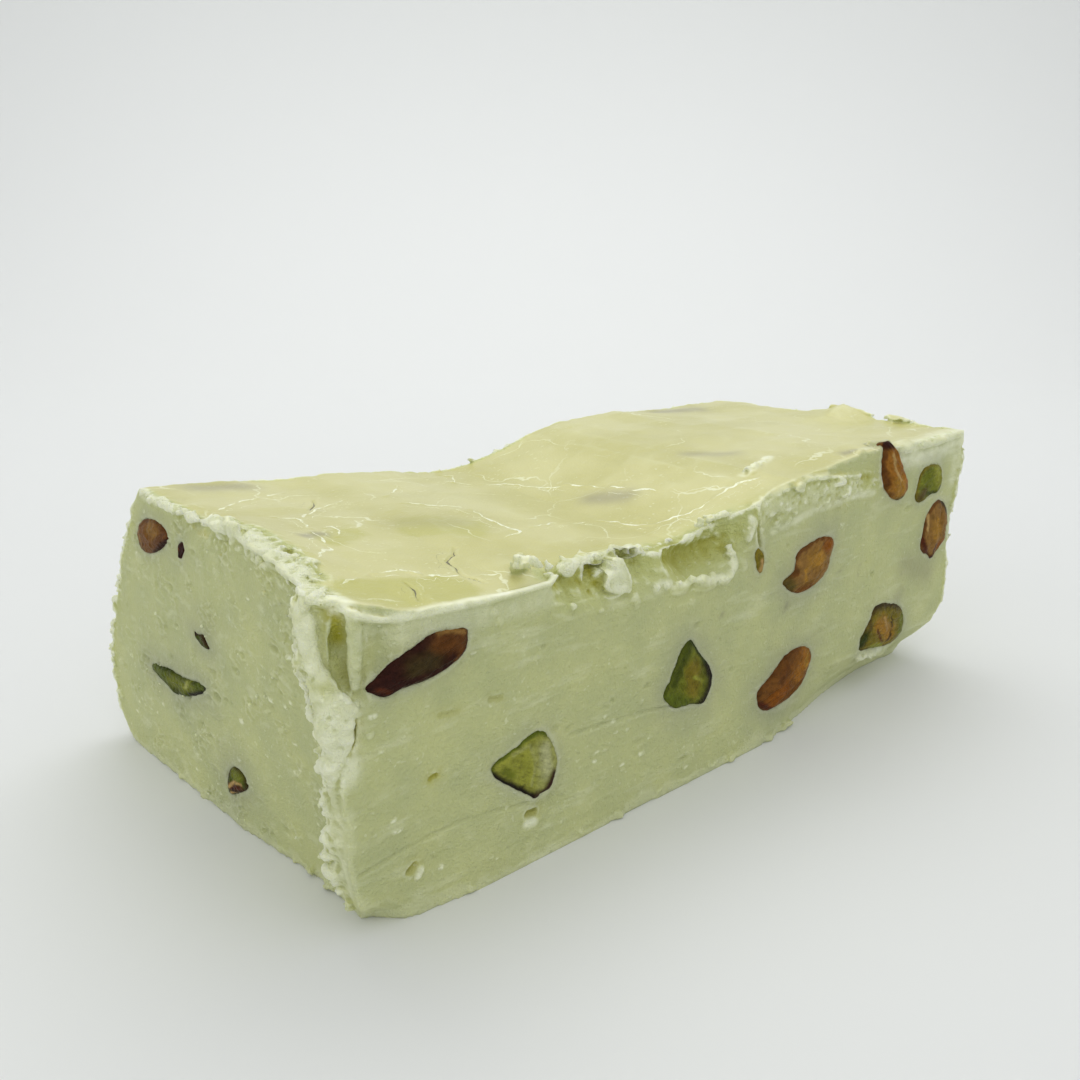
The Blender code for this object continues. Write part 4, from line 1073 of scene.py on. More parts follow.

# What the surface is like, kept at each point: skin or cut, torn or whole, in a hollow or on a crest, flecked, in
# a kernel's dark halo (painted shade and oily fudge), darker over a kernel under the skin, in a pit's painted shade
# or a darker place of the long cut, in a yellower pool of the skin, beside a crack, and how thickly loose crumbs lie.
# A halo has its reach and strength, and a shade its line, reach and depth.
OIL_AND_SHADE_HALO, WIDE_OIL_AND_SHADE_HALO = (1.6, 0.7), (2.8, 1.0)
WIDE_OIL_AND_SHADE_HALOS = (
    "kernel_front_3", "kernel_front_4", "kernel_front_5", "kernel_left_3", "kernel_left_4", "kernel_left_5",
)
SUNKEN_KERNELS = (
    ((62.7, 27.0), (65.5, 22.6), 2.3, 0.8),
    ((82.8, 23.9), (87.4, 18.4), 1.9, 0.6),
    ((110.3, 56.5), (118.3, 54.4), 3.0, 0.8),
    ((8.1, 56.6), (14.7, 56.2), 2.6, 0.7),
    ((26.6, 28.6), (33.2, 24.8), 3.0, 0.35),
    ((8.7, 24.8), (11.8, 26.2), 1.0, 0.9),
    ((98.4, 3.4), (100.4, 3.0), 0.9, 0.9),
)
# Places on the long cut painted darker: the four smallest spots are painted shade for pits, the others darker
# patches.
DEEP_SHADES = (
    ((116.2, 0.0, 22.0), (124.3, 0.0, 18.4), 2.4, 0.5),
    ((114.8, 0.0, 16.0), (115.4, 0.0, 16.4), 1.6, 0.4),
    ((80.5, 0.0, 22.8), (81.0, 0.0, 23.4), 0.55, 0.8),
    ((95.0, 0.0, 24.8), (95.1, 0.0, 25.6), 0.4, 0.7),
    ((114.8, 0.0, 20.3), (115.0, 0.0, 20.4), 0.3, 0.9),
    ((64.3, 0.0, 25.8), (64.8, 0.0, 26.5), 0.35, 0.7),
    ((101.0, 0.0, 23.8), (101.4, 0.0, 25.4), 0.4, 0.5),
)
points, normals, edges = mesh_arrays(block.data)
torn, rough = torn_share(points)
top = smooth(evened(normals, edges, 2)[:, 2], 0.45, 0.75)
skin = top * smooth(points[:, 2], *SKIN_HEIGHTS) * (1 - smooth(torn + 0.25 * grainy(points, 1.6, 21), 0.3, 0.65))
fine_rise = np.einsum("ij,ij->i", points - evened(points, edges, 6), normals)
wide_rise = np.einsum("ij,ij->i", points - evened(points, edges, 30), normals)
crest = np.clip(0.5 + fine_rise * 2.2 + wide_rise * 0.7, 0, 1)
halo = np.zeros(len(points))
for node in kernel_nodes:
    near, inside = near_kernel(points, node, 6)
    apart = np.maximum(-inside, 0) * (1 + 0.45 * grainy(points[near], 3.2, 43))
    reach, strength = WIDE_OIL_AND_SHADE_HALO if node in WIDE_OIL_AND_SHADE_HALOS else OIL_AND_SHADE_HALO
    halo[near] = np.maximum(halo[near], np.exp(-((apart / reach) ** 1.3)) * strength)
shade = np.zeros(len(points))
for start, end, reach, depth in SUNKEN_KERNELS + DEEP_SHADES:
    away = distance_to(points, (start, end)) + 0.3 * grainy(points, 2.0, 22)
    shade = np.maximum(shade, depth * np.exp(-((away / reach) ** 2)) * (top if len(start) == 2 else 1))
pale = pale_share(points) * (0.8 + 0.3 * grainy(points, 1.5, 25))
flecked = smooth(scattered(points, normals, FLECK_DRIFTS, 8, 0.30), 0.05, 0.20)
flecked = np.maximum(flecked, 0.8 * torn * smooth(fine_rise, 0.02, 0.08))


def beside(points, paths, half_width):
    """How far each point is to the left of the nearest crack, and how wide that crack is there, in millimetres."""
    side, width, nearest = np.full(len(points), 1.5), np.zeros(len(points)), np.full(len(points), 1.5)
    for path in paths:
        path = np.asarray(path, float)
        lengths = np.linalg.norm(np.diff(path, axis=0), axis=1)
        run = 0.0
        for start, along, length in zip(path, np.diff(path, axis=0), lengths):
            apart = points[:, :2] - start
            share = np.clip(apart @ along / length ** 2, 0, 1)
            away = np.linalg.norm(apart - share[:, None] * along, axis=1)
            closer = away < nearest
            turned = np.sign(along[0] * apart[closer, 1] - along[1] * apart[closer, 0])
            place = run + share[closer] * length
            ends = smooth(np.minimum(place, lengths.sum() - place), 0.0, 2.5)
            nearest[closer] = away[closer]
            side[closer], width[closer] = turned * away[closer], half_width * ends
            run += length
    return side, width


pale_side, pale_width = beside(wandered(points, *PALE_WANDER), PALE_CRACKS, 0.22)
pale_width = pale_width * top * smooth(grainy(points, 2.2, 23), -0.45, 0.2)
dark_side, dark_width = beside(wandered(points, *DARK_WANDER), DARK_CRACKS, 0.12)
dark_width = dark_width * top
hollow = np.zeros(len(points))
for path, half_width, depth, yellow in HOLLOWS:
    sunk_paths = [np.array(path) + share * (inward(path) * depth) for share in (0.5, 0.75, 1.0)]
    away = np.min([distance_to(points, sunk_path) for sunk_path in sunk_paths], axis=0)
    hollow = np.maximum(hollow, yellow * np.exp(-((away / (half_width + 0.45)) ** 2)))
POOLS = ((((5.5, 5.0), (17.0, 4.6)), 4.6), (((28.0, 26.0), (33.0, 23.0)), 5.0), (((12.0, 24.0), (16.0, 26.0)), 3.2))
pool = np.zeros(len(points))
for path, reach in POOLS:
    away = distance_to(wandered(points, *PALE_WANDER), path)
    pool = np.maximum(pool, skin * (1 - smooth(away, reach - 1.2, reach)))


def keep(mesh, **values):
    """Keeps named numbers, one for each point, on the mesh."""
    for name, numbers in values.items():
        mesh.attributes.new(name, "FLOAT", "POINT").data.foreach_set("value", numbers.astype(np.float32))


def in_place(obj):
    """Takes the object's points from millimetres at the edge's foot to metres in the row's frame."""
    local, _, _ = mesh_arrays(obj.data)
    obj.data.vertices.foreach_set("co", ((local + EDGE_FOOT) * MM).ravel())
    obj.data.polygons.foreach_set("use_smooth", np.ones(len(obj.data.polygons), bool))
    obj.data.update()


cove = ((-0.5, 2.0, 43.0), (0.5, 1.5, 36.0), (1.5, 1.0, 28.0))
in_cove = np.exp(-((distance_to(points, cove) / 3.2) ** 4))
crumbs = 0.75 * smooth(rough, 0.35, 0.9) * (1 - smooth(hollow, 0.05, 0.3))
crumbs = crumbs * (1 - in_cove) * smooth(points[:, 2], 2.0, 6.0)
crumbs = np.maximum(crumbs, 0.12 * smooth(-normals[:, 0], 0.7, 0.9) * smooth(grainy(points, 5.0, 29), 0.10, 0.40))
keep(block.data, torn=torn, skin=skin, crest=crest, halo=halo, shade=shade, hollow=hollow, pale=pale)
keep(block.data, flecked=flecked, pool=pool, crumbs=crumbs)
keep(block.data, pale_side=pale_side, pale_width=pale_width, dark_side=dark_side, dark_width=dark_width)
in_place(block)


# The fudge itself. Cut, it is a pale green with a matt, finely grained surface. The skin is yellower, smoother
# and a little glossy. Torn crests are nearly white, from their own colour and from painted light, and hollows let
# more light through, so they look yellow; they are also painted darker as painted shade.


def value_noise(tree, scale, detail, roughness=0.5, stretch=None, coordinates=None):
    noise = tree.nodes.new("ShaderNodeTexNoise")
    noise.inputs["Scale"].default_value = scale
    noise.inputs["Detail"].default_value = detail
    noise.inputs["Roughness"].default_value = roughness
    source = coordinates or tree.nodes.new("ShaderNodeTexCoord").outputs["Object"]
    if stretch:
        mapping = tree.nodes.new("ShaderNodeMapping")
        mapping.inputs["Scale"].default_value = stretch
        tree.links.new(source, mapping.inputs["Vector"])
        source = mapping.outputs["Vector"]
    tree.links.new(source, noise.inputs["Vector"])
    return noise.outputs["Fac"]


def ranged(tree, source, low, high, to_low=0.0, to_high=1.0):
    node = tree.nodes.new("ShaderNodeMapRange")
    node.inputs["From Min"].default_value = low
    node.inputs["From Max"].default_value = high
    node.inputs["To Min"].default_value = to_low
    node.inputs["To Max"].default_value = to_high
    tree.links.new(source, node.inputs["Value"])
    return node.outputs["Result"]


def maths(tree, operation, first, second=0.0):
    node = tree.nodes.new("ShaderNodeMath")
    node.operation = operation
    for socket, value in zip(node.inputs, (first, second)):
        if isinstance(value, (int, float)):
            socket.default_value = value
        else:
            tree.links.new(value, socket)
    return node.outputs["Value"]


def blended(tree, factor, first, second, how="MIX"):
    node = tree.nodes.new("ShaderNodeMix")
    node.data_type = "RGBA"
    node.blend_type = how
    for socket, value in ((node.inputs["Factor"], factor), (node.inputs["A"], first), (node.inputs["B"], second)):
        if isinstance(value, (int, float, tuple)):
            socket.default_value = value if isinstance(value, (int, float)) else (*value, 1.0)
        else:
            tree.links.new(value, socket)
    return node.outputs["Result"]


def stored(tree, name):
    node = tree.nodes.new("ShaderNodeAttribute")
    node.attribute_name = name
    return node.outputs["Fac"]


def new_material(name, roughness, subsurface, radius, scale, specular=0.5):
    made = bpy.data.materials.new(name)
    made.use_nodes = True
    shader = made.node_tree.nodes["Principled BSDF"]
    shader.inputs["Roughness"].default_value = roughness
    shader.inputs["Subsurface Weight"].default_value = subsurface
    shader.inputs["Subsurface Radius"].default_value = radius
    shader.inputs["Subsurface Scale"].default_value = scale
    shader.inputs["Specular IOR Level"].default_value = specular
    return made, made.node_tree, shader


def line_mask(tree, side, width, raggedness):
    """1 on a crack and 0 beside it, from how far it is and how wide, with a ragged edge."""
    ragged = ranged(tree, value_noise(tree, 1600, 2), 0.0, 1.0, -raggedness, raggedness)
    away = maths(tree, "ABSOLUTE", maths(tree, "ADD", stored(tree, side), ragged))
    return ranged(tree, maths(tree, "SUBTRACT", stored(tree, width), away), 0.0, 0.05)


def add_relief(tree, shader, height, distance, strength):
    """Fine relief on a look. distance is in metres, and the strength is a number or comes from a node."""
    bump = tree.nodes.new("ShaderNodeBump")
    bump.inputs["Distance"].default_value = distance
    if isinstance(strength, float):
        bump.inputs["Strength"].default_value = strength
    else:
        tree.links.new(strength, bump.inputs["Strength"])
    tree.links.new(height, bump.inputs["Height"])
    tree.links.new(bump.outputs["Normal"], shader.inputs["Normal"])


FUDGE = {
    "cut": (0.580, 0.605, 0.276),
    "cut_cool": (0.500, 0.535, 0.256),
    "torn": (0.600, 0.635, 0.235),
    "skin": (0.635, 0.610, 0.262),
    "skin_deep": (0.560, 0.535, 0.190),
    "pool": (0.530, 0.515, 0.140),
    # crest: the white of torn fudge, and painted light where folds, rolls and crests face the lamps
    "crest": (0.920, 0.945, 0.700),
    # hollow: painted shade, darker and yellower where light comes through thin fudge
    "hollow": (0.400, 0.380, 0.020),
    # halo: painted shade round the kernels, mixed with the fudge's own oily darkening there
    "halo": (0.290, 0.305, 0.240),
    # shade: darker over kernels under the skin, and painted shade in pits on the long cut
    "shade": (0.230, 0.205, 0.130),
    "split": (0.130, 0.120, 0.040),
}
fudge, tree, shader = new_material("fudge", 0.55, 0.30, (1.0, 0.95, 0.5), 0.0016)
mottle = ranged(tree, value_noise(tree, 140, 3), 0.3, 0.7)
colour = blended(tree, mottle, FUDGE["cut"], FUDGE["cut_cool"])
smears = value_noise(tree, 420, 3, 0.6, stretch=(0.22, 0.5, 1.0))
colour = blended(tree, ranged(tree, smears, 0.56, 0.74, 0.0, 0.28), colour, FUDGE["crest"])
skin_colour = blended(tree, ranged(tree, value_noise(tree, 55, 3), 0.42, 0.60), FUDGE["skin"], FUDGE["skin_deep"])
skin_colour = blended(tree, stored(tree, "pool"), skin_colour, FUDGE["pool"])
skin_here, torn_here, crest_here = (stored(tree, name) for name in ("skin", "torn", "crest"))
colour = blended(tree, skin_here, colour, skin_colour)
colour = blended(tree, maths(tree, "MULTIPLY", torn_here, 0.85), colour, FUDGE["torn"])
# Painted shade: concave torn places and the deep hollows take a darker, yellower colour.
hollow_shade_share = maths(tree, "MULTIPLY", ranged(tree, crest_here, 0.46, 0.15, 0.0, 0.45), torn_here)
deep_hollow_shade = maths(tree, "MULTIPLY", stored(tree, "hollow"), ranged(tree, crest_here, 0.78, 0.48))
hollow_shade_share = maths(tree, "ADD", hollow_shade_share, deep_hollow_shade)
# Painted light and the white of torn fudge: convex torn crests and the pale places turn nearly white.
torn_part = ranged(tree, torn_here, 0.0, 0.5, 0.2, 0.9)
pale_and_lit_torn_crest = maths(tree, "MULTIPLY", ranged(tree, crest_here, 0.56, 0.84), torn_part)
pale_here = maths(tree, "MULTIPLY", stored(tree, "pale"), ranged(tree, crest_here, 0.30, 0.52, 0.25, 1.0))
fleck_grain = ranged(tree, value_noise(tree, 1500, 2), 0.40, 0.56, 0.15, 0.8)
flecked_here = maths(tree, "MULTIPLY", stored(tree, "flecked"), fleck_grain)
on_crest = maths(tree, "MAXIMUM", maths(tree, "MAXIMUM", pale_and_lit_torn_crest, pale_here), flecked_here)
colour = blended(tree, hollow_shade_share, colour, FUDGE["hollow"])
colour = blended(tree, on_crest, colour, FUDGE["crest"])
speck = ranged(tree, value_noise(tree, 1300, 1), 0.66, 0.72)
speck = maths(tree, "MULTIPLY", speck, ranged(tree, value_noise(tree, 110, 2), 0.42, 0.62, 0.0, 0.30))
colour = blended(tree, speck, colour, FUDGE["crest"])
# Painted shade round the kernels, with the fudge's own oily darkening: greyer fudge beside each kernel.
colour = blended(tree, maths(tree, "MULTIPLY", stored(tree, "halo"), 0.46), colour, FUDGE["halo"])
# Darker over kernels under the skin, and painted shade in the pits of the long cut.
colour = blended(tree, maths(tree, "MULTIPLY", stored(tree, "shade"), 0.7), colour, FUDGE["shade"])

# The skin's crackle: a faint net of pale cells, warped so that no crack of it runs straight, and the larger
# pale and dark cracks laid over it. The larger pale cracks are dotted with painted highlights.
crackle = tree.nodes.new("ShaderNodeTexVoronoi")
crackle.feature = "DISTANCE_TO_EDGE"
crackle.inputs["Scale"].default_value = 62
warp = tree.nodes.new("ShaderNodeTexNoise")
warp.inputs["Scale"].default_value = 65
warp.inputs["Detail"].default_value = 5
coordinates = tree.nodes.new("ShaderNodeTexCoord").outputs["Object"]
tree.links.new(coordinates, warp.inputs["Vector"])
shifted = tree.nodes.new("ShaderNodeVectorMath")
shifted.operation = "MULTIPLY_ADD"
shifted.inputs[1].default_value = (0.022, 0.022, 0.0)
tree.links.new(warp.outputs["Color"], shifted.inputs[0])
tree.links.new(coordinates, shifted.inputs[2])
tree.links.new(shifted.outputs["Vector"], crackle.inputs["Vector"])
faint = maths(tree, "MULTIPLY", ranged(tree, crackle.outputs["Distance"], 0.012, 0.004), skin_here)
faint = maths(tree, "MULTIPLY", faint, ranged(tree, value_noise(tree, 95, 2), 0.47, 0.60, 0.0, 0.55))
colour = blended(tree, faint, colour, FUDGE["crest"])
# Painted highlights: brighter white dots along the pale cracks.
glint_dots = ranged(tree, value_noise(tree, 900, 2), 0.36, 0.5, 0.35, 1.0)
pale_crack = maths(tree, "MULTIPLY", line_mask(tree, "pale_side", "pale_width", 0.16), glint_dots)
colour = blended(tree, pale_crack, colour, FUDGE["crest"])
colour = blended(tree, line_mask(tree, "dark_side", "dark_width", 0.05), colour, FUDGE["split"])
tree.links.new(colour, shader.inputs["Base Color"])
tree.links.new(ranged(tree, skin_here, 0.0, 1.0, 0.58, 0.30), shader.inputs["Roughness"])
grain = maths(tree, "ADD", value_noise(tree, 900, 3, 0.6), value_noise(tree, 2600, 2, 0.6))
relief = maths(tree, "ADD", grain, maths(tree, "MULTIPLY", smears, 0.9))
strength = ranged(tree, skin_here, 0.0, 1.0, 0.6, 0.10)
strength = maths(tree, "ADD", strength, maths(tree, "MULTIPLY", torn_here, 0.25))
add_relief(tree, shader, relief, 0.0007, strength)
block.data.materials.clear()
block.data.materials.append(fudge)
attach(block, "root")
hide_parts("fudge_slab")

# Loose crumbs: about 160 grains of torn fudge, 0.2 to 0.8 mm, that stick to the torn edges and in drifts on the
# short cut end. Geometry Nodes strew them over a copy of the block, thickest where the block is most torn.


def strewn_crumbs():
    """The node tree that takes in the block and gives back its crumbs as a plain mesh."""
    tree = bpy.data.node_groups.new("strewn_crumbs", "GeometryNodeTree")
    tree.interface.new_socket("Block", in_out="INPUT", socket_type="NodeSocketGeometry")
    for name in ("Most per Square Metre", "Smallest", "Largest"):
        tree.interface.new_socket(name, in_out="INPUT", socket_type="NodeSocketFloat")
    tree.interface.new_socket("Crumbs", in_out="OUTPUT", socket_type="NodeSocketGeometry")
    nodes, link = tree.nodes, tree.links.new
    given = nodes.new("NodeGroupInput").outputs
    spread = nodes.new("GeometryNodeInputNamedAttribute")
    spread.inputs["Name"].default_value = "crumbs"
    density = nodes.new("ShaderNodeMath")
    density.operation = "MULTIPLY"
    link(spread.outputs["Attribute"], density.inputs[0])
    link(given["Most per Square Metre"], density.inputs[1])
    strew = nodes.new("GeometryNodeDistributePointsOnFaces")
    strew.inputs["Seed"].default_value = 5
    link(given["Block"], strew.inputs["Mesh"])
    link(density.outputs[0], strew.inputs["Density"])
    grain = nodes.new("GeometryNodeMeshIcoSphere")
    grain.inputs["Subdivisions"].default_value = 2
    ragged = nodes.new("ShaderNodeTexNoise")
    ragged.inputs["Scale"].default_value = 1.6
    offset = nodes.new("ShaderNodeVectorMath")
    offset.operation = "MULTIPLY_ADD"
    offset.inputs[1].default_value = (1.6, 1.6, 1.6)
    offset.inputs[2].default_value = (-0.8, -0.8, -0.8)
    link(ragged.outputs["Color"], offset.inputs[0])
    shift = nodes.new("GeometryNodeSetPosition")
    link(grain.outputs["Mesh"], shift.inputs["Geometry"])
    link(offset.outputs["Vector"], shift.inputs["Offset"])
    turn = nodes.new("FunctionNodeRandomValue")
    turn.data_type = "FLOAT_VECTOR"
    turn.inputs["Max"].default_value = (6.28, 6.28, 6.28)
    turn.inputs["Seed"].default_value = 6
    size = nodes.new("FunctionNodeRandomValue")
    size.data_type = "FLOAT_VECTOR"
    size.inputs["Seed"].default_value = 7
    for name, end in (("Smallest", "Min"), ("Largest", "Max")):
        link(given[name], size.inputs[end])
    place = nodes.new("GeometryNodeInstanceOnPoints")
    link(strew.outputs["Points"], place.inputs["Points"])
    link(shift.outputs["Geometry"], place.inputs["Instance"])
    link(turn.outputs["Value"], place.inputs["Rotation"])
    link(size.outputs["Value"], place.inputs["Scale"])
    real = nodes.new("GeometryNodeRealizeInstances")
    link(place.outputs["Instances"], real.inputs["Geometry"])
    smooth_faces = nodes.new("GeometryNodeSetShadeSmooth")
    link(real.outputs["Geometry"], smooth_faces.inputs["Geometry"])
    finish = nodes.new("GeometryNodeSetMaterial")
    finish.inputs["Material"].default_value = crumb_look
    link(smooth_faces.outputs["Geometry"], finish.inputs["Geometry"])
    link(finish.outputs["Geometry"], nodes.new("NodeGroupOutput").inputs["Crumbs"])
    return tree


crumb_look, tree, shader = new_material("crumb", 0.6, 0.3, (1.0, 0.95, 0.6), 0.0008, specular=0.3)
crumb_mottle = ranged(tree, value_noise(tree, 400, 3), 0.35, 0.65)
crumb_colour = blended(tree, crumb_mottle, (0.84, 0.87, 0.60), (0.70, 0.74, 0.40))
tree.links.new(crumb_colour, shader.inputs["Base Color"])
add_relief(tree, shader, value_noise(tree, 3000, 2), 0.0002, 0.6)
crumbs_piece = new_object("loose_crumbs", block.data.copy())
strewing = crumbs_piece.modifiers.new("strewn", "NODES")
strewing.node_group = strewn_crumbs()
crumb_sizes = {"Most per Square Metre": 420000.0, "Smallest": 0.00008, "Largest": 0.00032}
for socket in strewing.node_group.interface.items_tree:
    if socket.name in crumb_sizes:
        strewing[socket.identifier] = crumb_sizes[socket.name]
take_up_modifiers(crumbs_piece)
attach(crumbs_piece, "root")

# The kernels themselves, made to those forms: a bulging or flat cap with the wrinkles and splits of a dried
# kernel, on a wall that goes 2.5 mm down into the fudge. Their colours are kept at their points.
AROUND, RINGS, WALLS = 96, 24, ((0.25, 1.0), (0.9, 0.97), (1.7, 0.9), (2.5, 0.7))


def kernel_pattern_group():
    """What every kernel's surface has: fine mottling of its colour, and fine wrinkles in its relief."""
    group = bpy.data.node_groups.new("kernel_pattern", "ShaderNodeTree")
    group.interface.new_socket("Kernel Color", in_out="INPUT", socket_type="NodeSocketColor")
    group.interface.new_socket("Color", in_out="OUTPUT", socket_type="NodeSocketColor")
    group.interface.new_socket("Height", in_out="OUTPUT", socket_type="NodeSocketFloat")
    given = group.nodes.new("NodeGroupInput").outputs
    out = group.nodes.new("NodeGroupOutput").inputs
    uv = group.nodes.new("ShaderNodeUVMap")
    uv.uv_map = "along_and_across"
    fibres = value_noise(group, 14, 4, 0.6, stretch=(0.35, 1.6, 1.0), coordinates=uv.outputs["UV"])
    mottle = value_noise(group, 1100, 4, 0.65)
    shade = ranged(group, fibres, 0.3, 0.7, 0.70, 1.02)
    shade = maths(group, "ADD", shade, ranged(group, mottle, 0.3, 0.7, -0.22, 0.22))
    tint = group.nodes.new("ShaderNodeCombineColor")
    for channel in ("Red", "Green", "Blue"):
        group.links.new(shade, tint.inputs[channel])
    group.links.new(blended(group, 1.0, given["Kernel Color"], tint.outputs["Color"], "MULTIPLY"), out["Color"])
    group.links.new(maths(group, "ADD", fibres, mottle), out["Height"])
    return group


kernel_pattern = kernel_pattern_group()


def kernel_colours(flat, inside, form, number):
    """The colour at each point of a kernel's face, from its flesh, its patches and the skin round its edge."""
    colours = np.tile(np.array(KERNEL_COLOURS[form["flesh"]], float), (len(flat), 1))
    spaced = np.column_stack((flat, np.full(len(flat), number * 9.0)))
    skin_colour, width = form["rim"]
    width = width * (1 + 0.9 * grainy(spaced, 1.6, 63) + 0.5 * grainy(spaced, 0.6, 64))
    share = (0.85 * smooth(width - inside, -0.12, 0.12))[:, None]
    colours = colours * (1 - share) + np.array(KERNEL_COLOURS[skin_colour]) * share
    for colour, reach, line in form["patches"]:
        line = np.asarray(line, float)
        away = distance_to(flat, line) if len(line) > 1 else np.linalg.norm(flat - line[0], axis=1)
        away = away + 0.28 * reach * grainy(spaced, 1.1, 61) + 0.12 * grainy(spaced, 0.45, 62)
        share = np.exp(-(np.maximum(away, 0) / reach) ** 3)[:, None]
        colours = colours * (1 - share) + np.array(KERNEL_COLOURS[colour]) * share
    return colours


def dressed_kernel(node, number):
    """One kernel as a finished piece: its cap, its wall down into the fudge, and its colours."""
    form = KERNEL_FORMS[node]
    along, across, side = face_of(node)
    outline = round_outline(form["outline"], AROUND)
    middle = outline.mean(0)
    spaced = np.column_stack((outline, np.full(AROUND, 3.0 * number)))
    outline = outline + (outline - middle) * (0.030 * grainy(spaced, 0.9, 65) + 0.02)[:, None]
    shares = np.linspace(0, 1, RINGS + 1)[1:]
    flat = np.concatenate([middle[None]] + [middle + share * (outline - middle) for share in shares])
    share = np.concatenate([np.zeros(1)] + [np.full(AROUND, share) for share in shares])
    _, _, axes = np.linalg.svd(outline - middle, full_matrices=False)
    u, v = ((flat - middle) @ axes.T).T
    bulge = form["crown"]
    rounding = (1 - share ** 2.4) ** 0.7 if bulge > 0.5 else 1 - share ** 8
    wrinkled = np.column_stack((u / 4.5, v / 1.4, np.full(len(u), 5.0 * number)))
    relief = (0.14 + 0.12 * bulge) * ridged(wrinkled, 1.0, 66)
    relief = relief + 0.15 * grainy(np.column_stack((u, v, u * 0 + number)), 0.9, 67)
    height = bulge * rounding + relief * (1 - share ** 6) + 0.05
    inside = edge_depth(flat, outline)
    inside[-AROUND:] = 0
    colours = kernel_colours(flat, inside, form, number)
    rim_colour = np.array(KERNEL_COLOURS[form["rim"][0]])
    for depth, shrink in WALLS:
        flat = np.vstack((flat, middle + shrink * (outline - middle)))
        height = np.concatenate((height, np.full(AROUND, -depth)))
        colours = np.vstack((colours, np.tile(rim_colour, (AROUND, 1))))
        u, v = np.concatenate((u, u[-AROUND:])), np.concatenate((v, v[-AROUND:]))
    flat = np.vstack((flat, middle))
    height = np.append(height, -WALLS[-1][0])
    colours = np.vstack((colours, rim_colour))
    u, v = np.append(u, 0), np.append(v, 0)
    points = np.zeros((len(flat), 3))
    points[:, along], points[:, HIGH_AXIS] = flat.T
    points[:, across] = face_plane(node)(flat[:, 0], flat[:, 1]) + side * height
    points[:, HIGH_AXIS] = np.maximum(points[:, HIGH_AXIS], 0.1)
    faces = [(0, 1 + step, 1 + (step + 1) % AROUND) for step in range(AROUND)]
    for ring in range(RINGS + len(WALLS) - 1):
        first = 1 + ring * AROUND
        for step in range(AROUND):
            nearby = (step + 1) % AROUND
            faces.append((first + step, first + AROUND + step, first + AROUND + nearby, first + nearby))
    first, last = 1 + (RINGS + len(WALLS) - 1) * AROUND, len(points) - 1
    faces += [(first + step, last, first + (step + 1) % AROUND) for step in range(AROUND)]
    mesh = new_mesh(node + "_nut", points, faces)
    shape = bmesh.new()
    shape.from_mesh(mesh)
    bmesh.ops.recalc_face_normals(shape, faces=shape.faces)
    shape.to_mesh(mesh)
    shape.free()
    piece = new_object(node + "_nut", mesh)
    kept = mesh.attributes.new("kernel_colour", "FLOAT_COLOR", "POINT")
    kept.data.foreach_set("color", np.column_stack((colours, np.ones(len(colours)))).astype(np.float32).ravel())
    layer = mesh.uv_layers.new(name="along_and_across")
    corners = np.empty(len(mesh.loops), np.int32)
    mesh.loops.foreach_get("vertex_index", corners)
    layer.data.foreach_set("uv", np.stack((u / 14 + number, v / 14), 1)[corners].astype(np.float32).ravel())
    in_place(piece)
    piece.data.materials.append(kernel_look)
    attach(piece, "root")
    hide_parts(node)
    "kernel_green" if is_green(form["flesh"]) else "kernel_brown"


kernel_look, tree, shader = new_material("kernel", 0.36, 0.0, (1.0, 0.6, 0.3), 0.0008, specular=0.07)
pattern = tree.nodes.new("ShaderNodeGroup")
pattern.node_tree = kernel_pattern
own_colour = tree.nodes.new("ShaderNodeAttribute")
own_colour.attribute_name = "kernel_colour"
tree.links.new(own_colour.outputs["Color"], pattern.inputs["Kernel Color"])
tree.links.new(pattern.outputs["Color"], shader.inputs["Base Color"])
add_relief(tree, shader, pattern.outputs["Height"], 0.0008, 0.8)
for number, node in enumerate(kernel_nodes):
    dressed_kernel(node, number)

# The floor: a plain pale sheet that lies flat under the slab and sweeps up behind it out of sight.
SWEEP_START, SWEEP_RADIUS, SWEEP_TOP, SWEEP_HALF_WIDTH, SWEEP_STEPS = 0.30, 0.22, 1.6, 3.0, 24
VIEW_TURN, VIEW_TILT = math.radians(40.6), math.radians(18.6)
sweep_away = np.array((math.sin(VIEW_TURN), math.cos(VIEW_TURN), 0.0))
sweep_side = np.array((sweep_away[1], -sweep_away[0], 0.0))
profile = [(-SWEEP_HALF_WIDTH, 0.0), (SWEEP_START, 0.0)]
for step in range(1, SWEEP_STEPS + 1):
    angle = math.radians(90 * step / SWEEP_STEPS)
    profile.append((SWEEP_START + SWEEP_RADIUS * math.sin(angle), SWEEP_RADIUS * (1 - math.cos(angle))))
profile.append((SWEEP_START + SWEEP_RADIUS, SWEEP_TOP))
rows = [sweep_away * away + np.array((0, 0, height)) for away, height in profile]
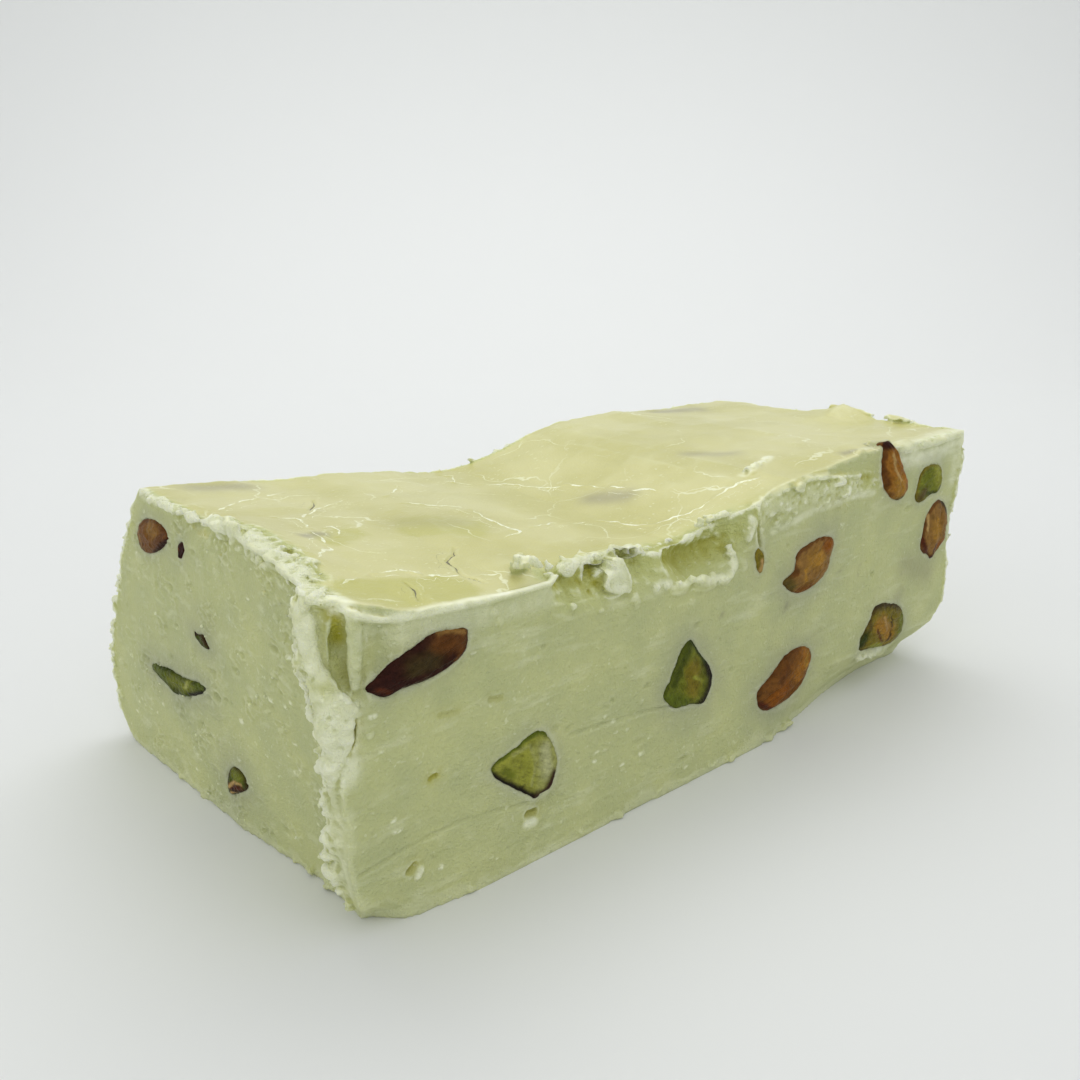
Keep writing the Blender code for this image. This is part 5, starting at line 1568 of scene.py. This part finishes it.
floor_points = [row + sweep_side * side for row in rows for side in (-SWEEP_HALF_WIDTH, SWEEP_HALF_WIDTH)]
floor_faces = [(2 * row, 2 * row + 1, 2 * row + 3, 2 * row + 2) for row in range(len(rows) - 1)]
floor_mesh = new_mesh("floor", floor_points, floor_faces)
floor_mesh.polygons.foreach_set("use_smooth", [True] * len(floor_faces))
floor = new_object("floor", floor_mesh)
floor_look, tree, shader = new_material("floor", 0.6, 0.0, (1, 1, 1), 0.001, specular=0.3)
shader.inputs["Base Color"].default_value = (0.78, 0.79, 0.78, 1.0)
floor.data.materials.append(floor_look)

# Soft studio light: a pale room, a wide panel overhead and a little behind, and two weak panels, one over the
# long cut and one beside the short end.
world = bpy.data.worlds.new("pale_room")
bpy.context.scene.world = world
world.use_nodes = True
room = world.node_tree.nodes["Background"].inputs
room["Color"].default_value = (0.90, 0.915, 0.92, 1.0)
room["Strength"].default_value = 0.755


def light_panel(name, place, target, size, power):
    light = bpy.data.lights.new(name, "AREA")
    light.shape = "RECTANGLE"
    light.size, light.size_y = size
    light.energy = power
    panel = new_object(name, light)
    panel.location = place
    panel.rotation_euler = (Vector(target) - Vector(place)).to_track_quat("-Z", "Y").to_euler()


light_panel("overhead", (0.25, 0.31, 0.52), (0.10, 0.13, 0.02), (0.7, 0.6), 2.3)
light_panel("over_the_cut", (-0.04, -0.24, 0.34), (0.0, 0.0, 0.04), (0.3, 0.3), 0.15)
light_panel("beside_the_end", (-0.36, 0.02, 0.22), (-0.06, 0.0, 0.02), (0.3, 0.3), 0.13)

# The camera stands off the near upright edge and looks down on the slab a little.
camera = bpy.data.cameras.new("camera")
camera.sensor_width = 36.0
camera.lens = 36.0
camera.clip_start = 0.005
viewer = new_object("camera", camera)
facing = Vector((*(math.cos(VIEW_TILT) * sweep_away[:2]), -math.sin(VIEW_TILT)))
viewer.location = Vector(np.array((-55.6, -97.6, 89.3)) + EDGE_FOOT) * MM
viewer.rotation_euler = facing.to_track_quat("-Z", "Y").to_euler()
bpy.context.scene.camera = viewer
bpy.context.scene.view_settings.view_transform = "Standard"
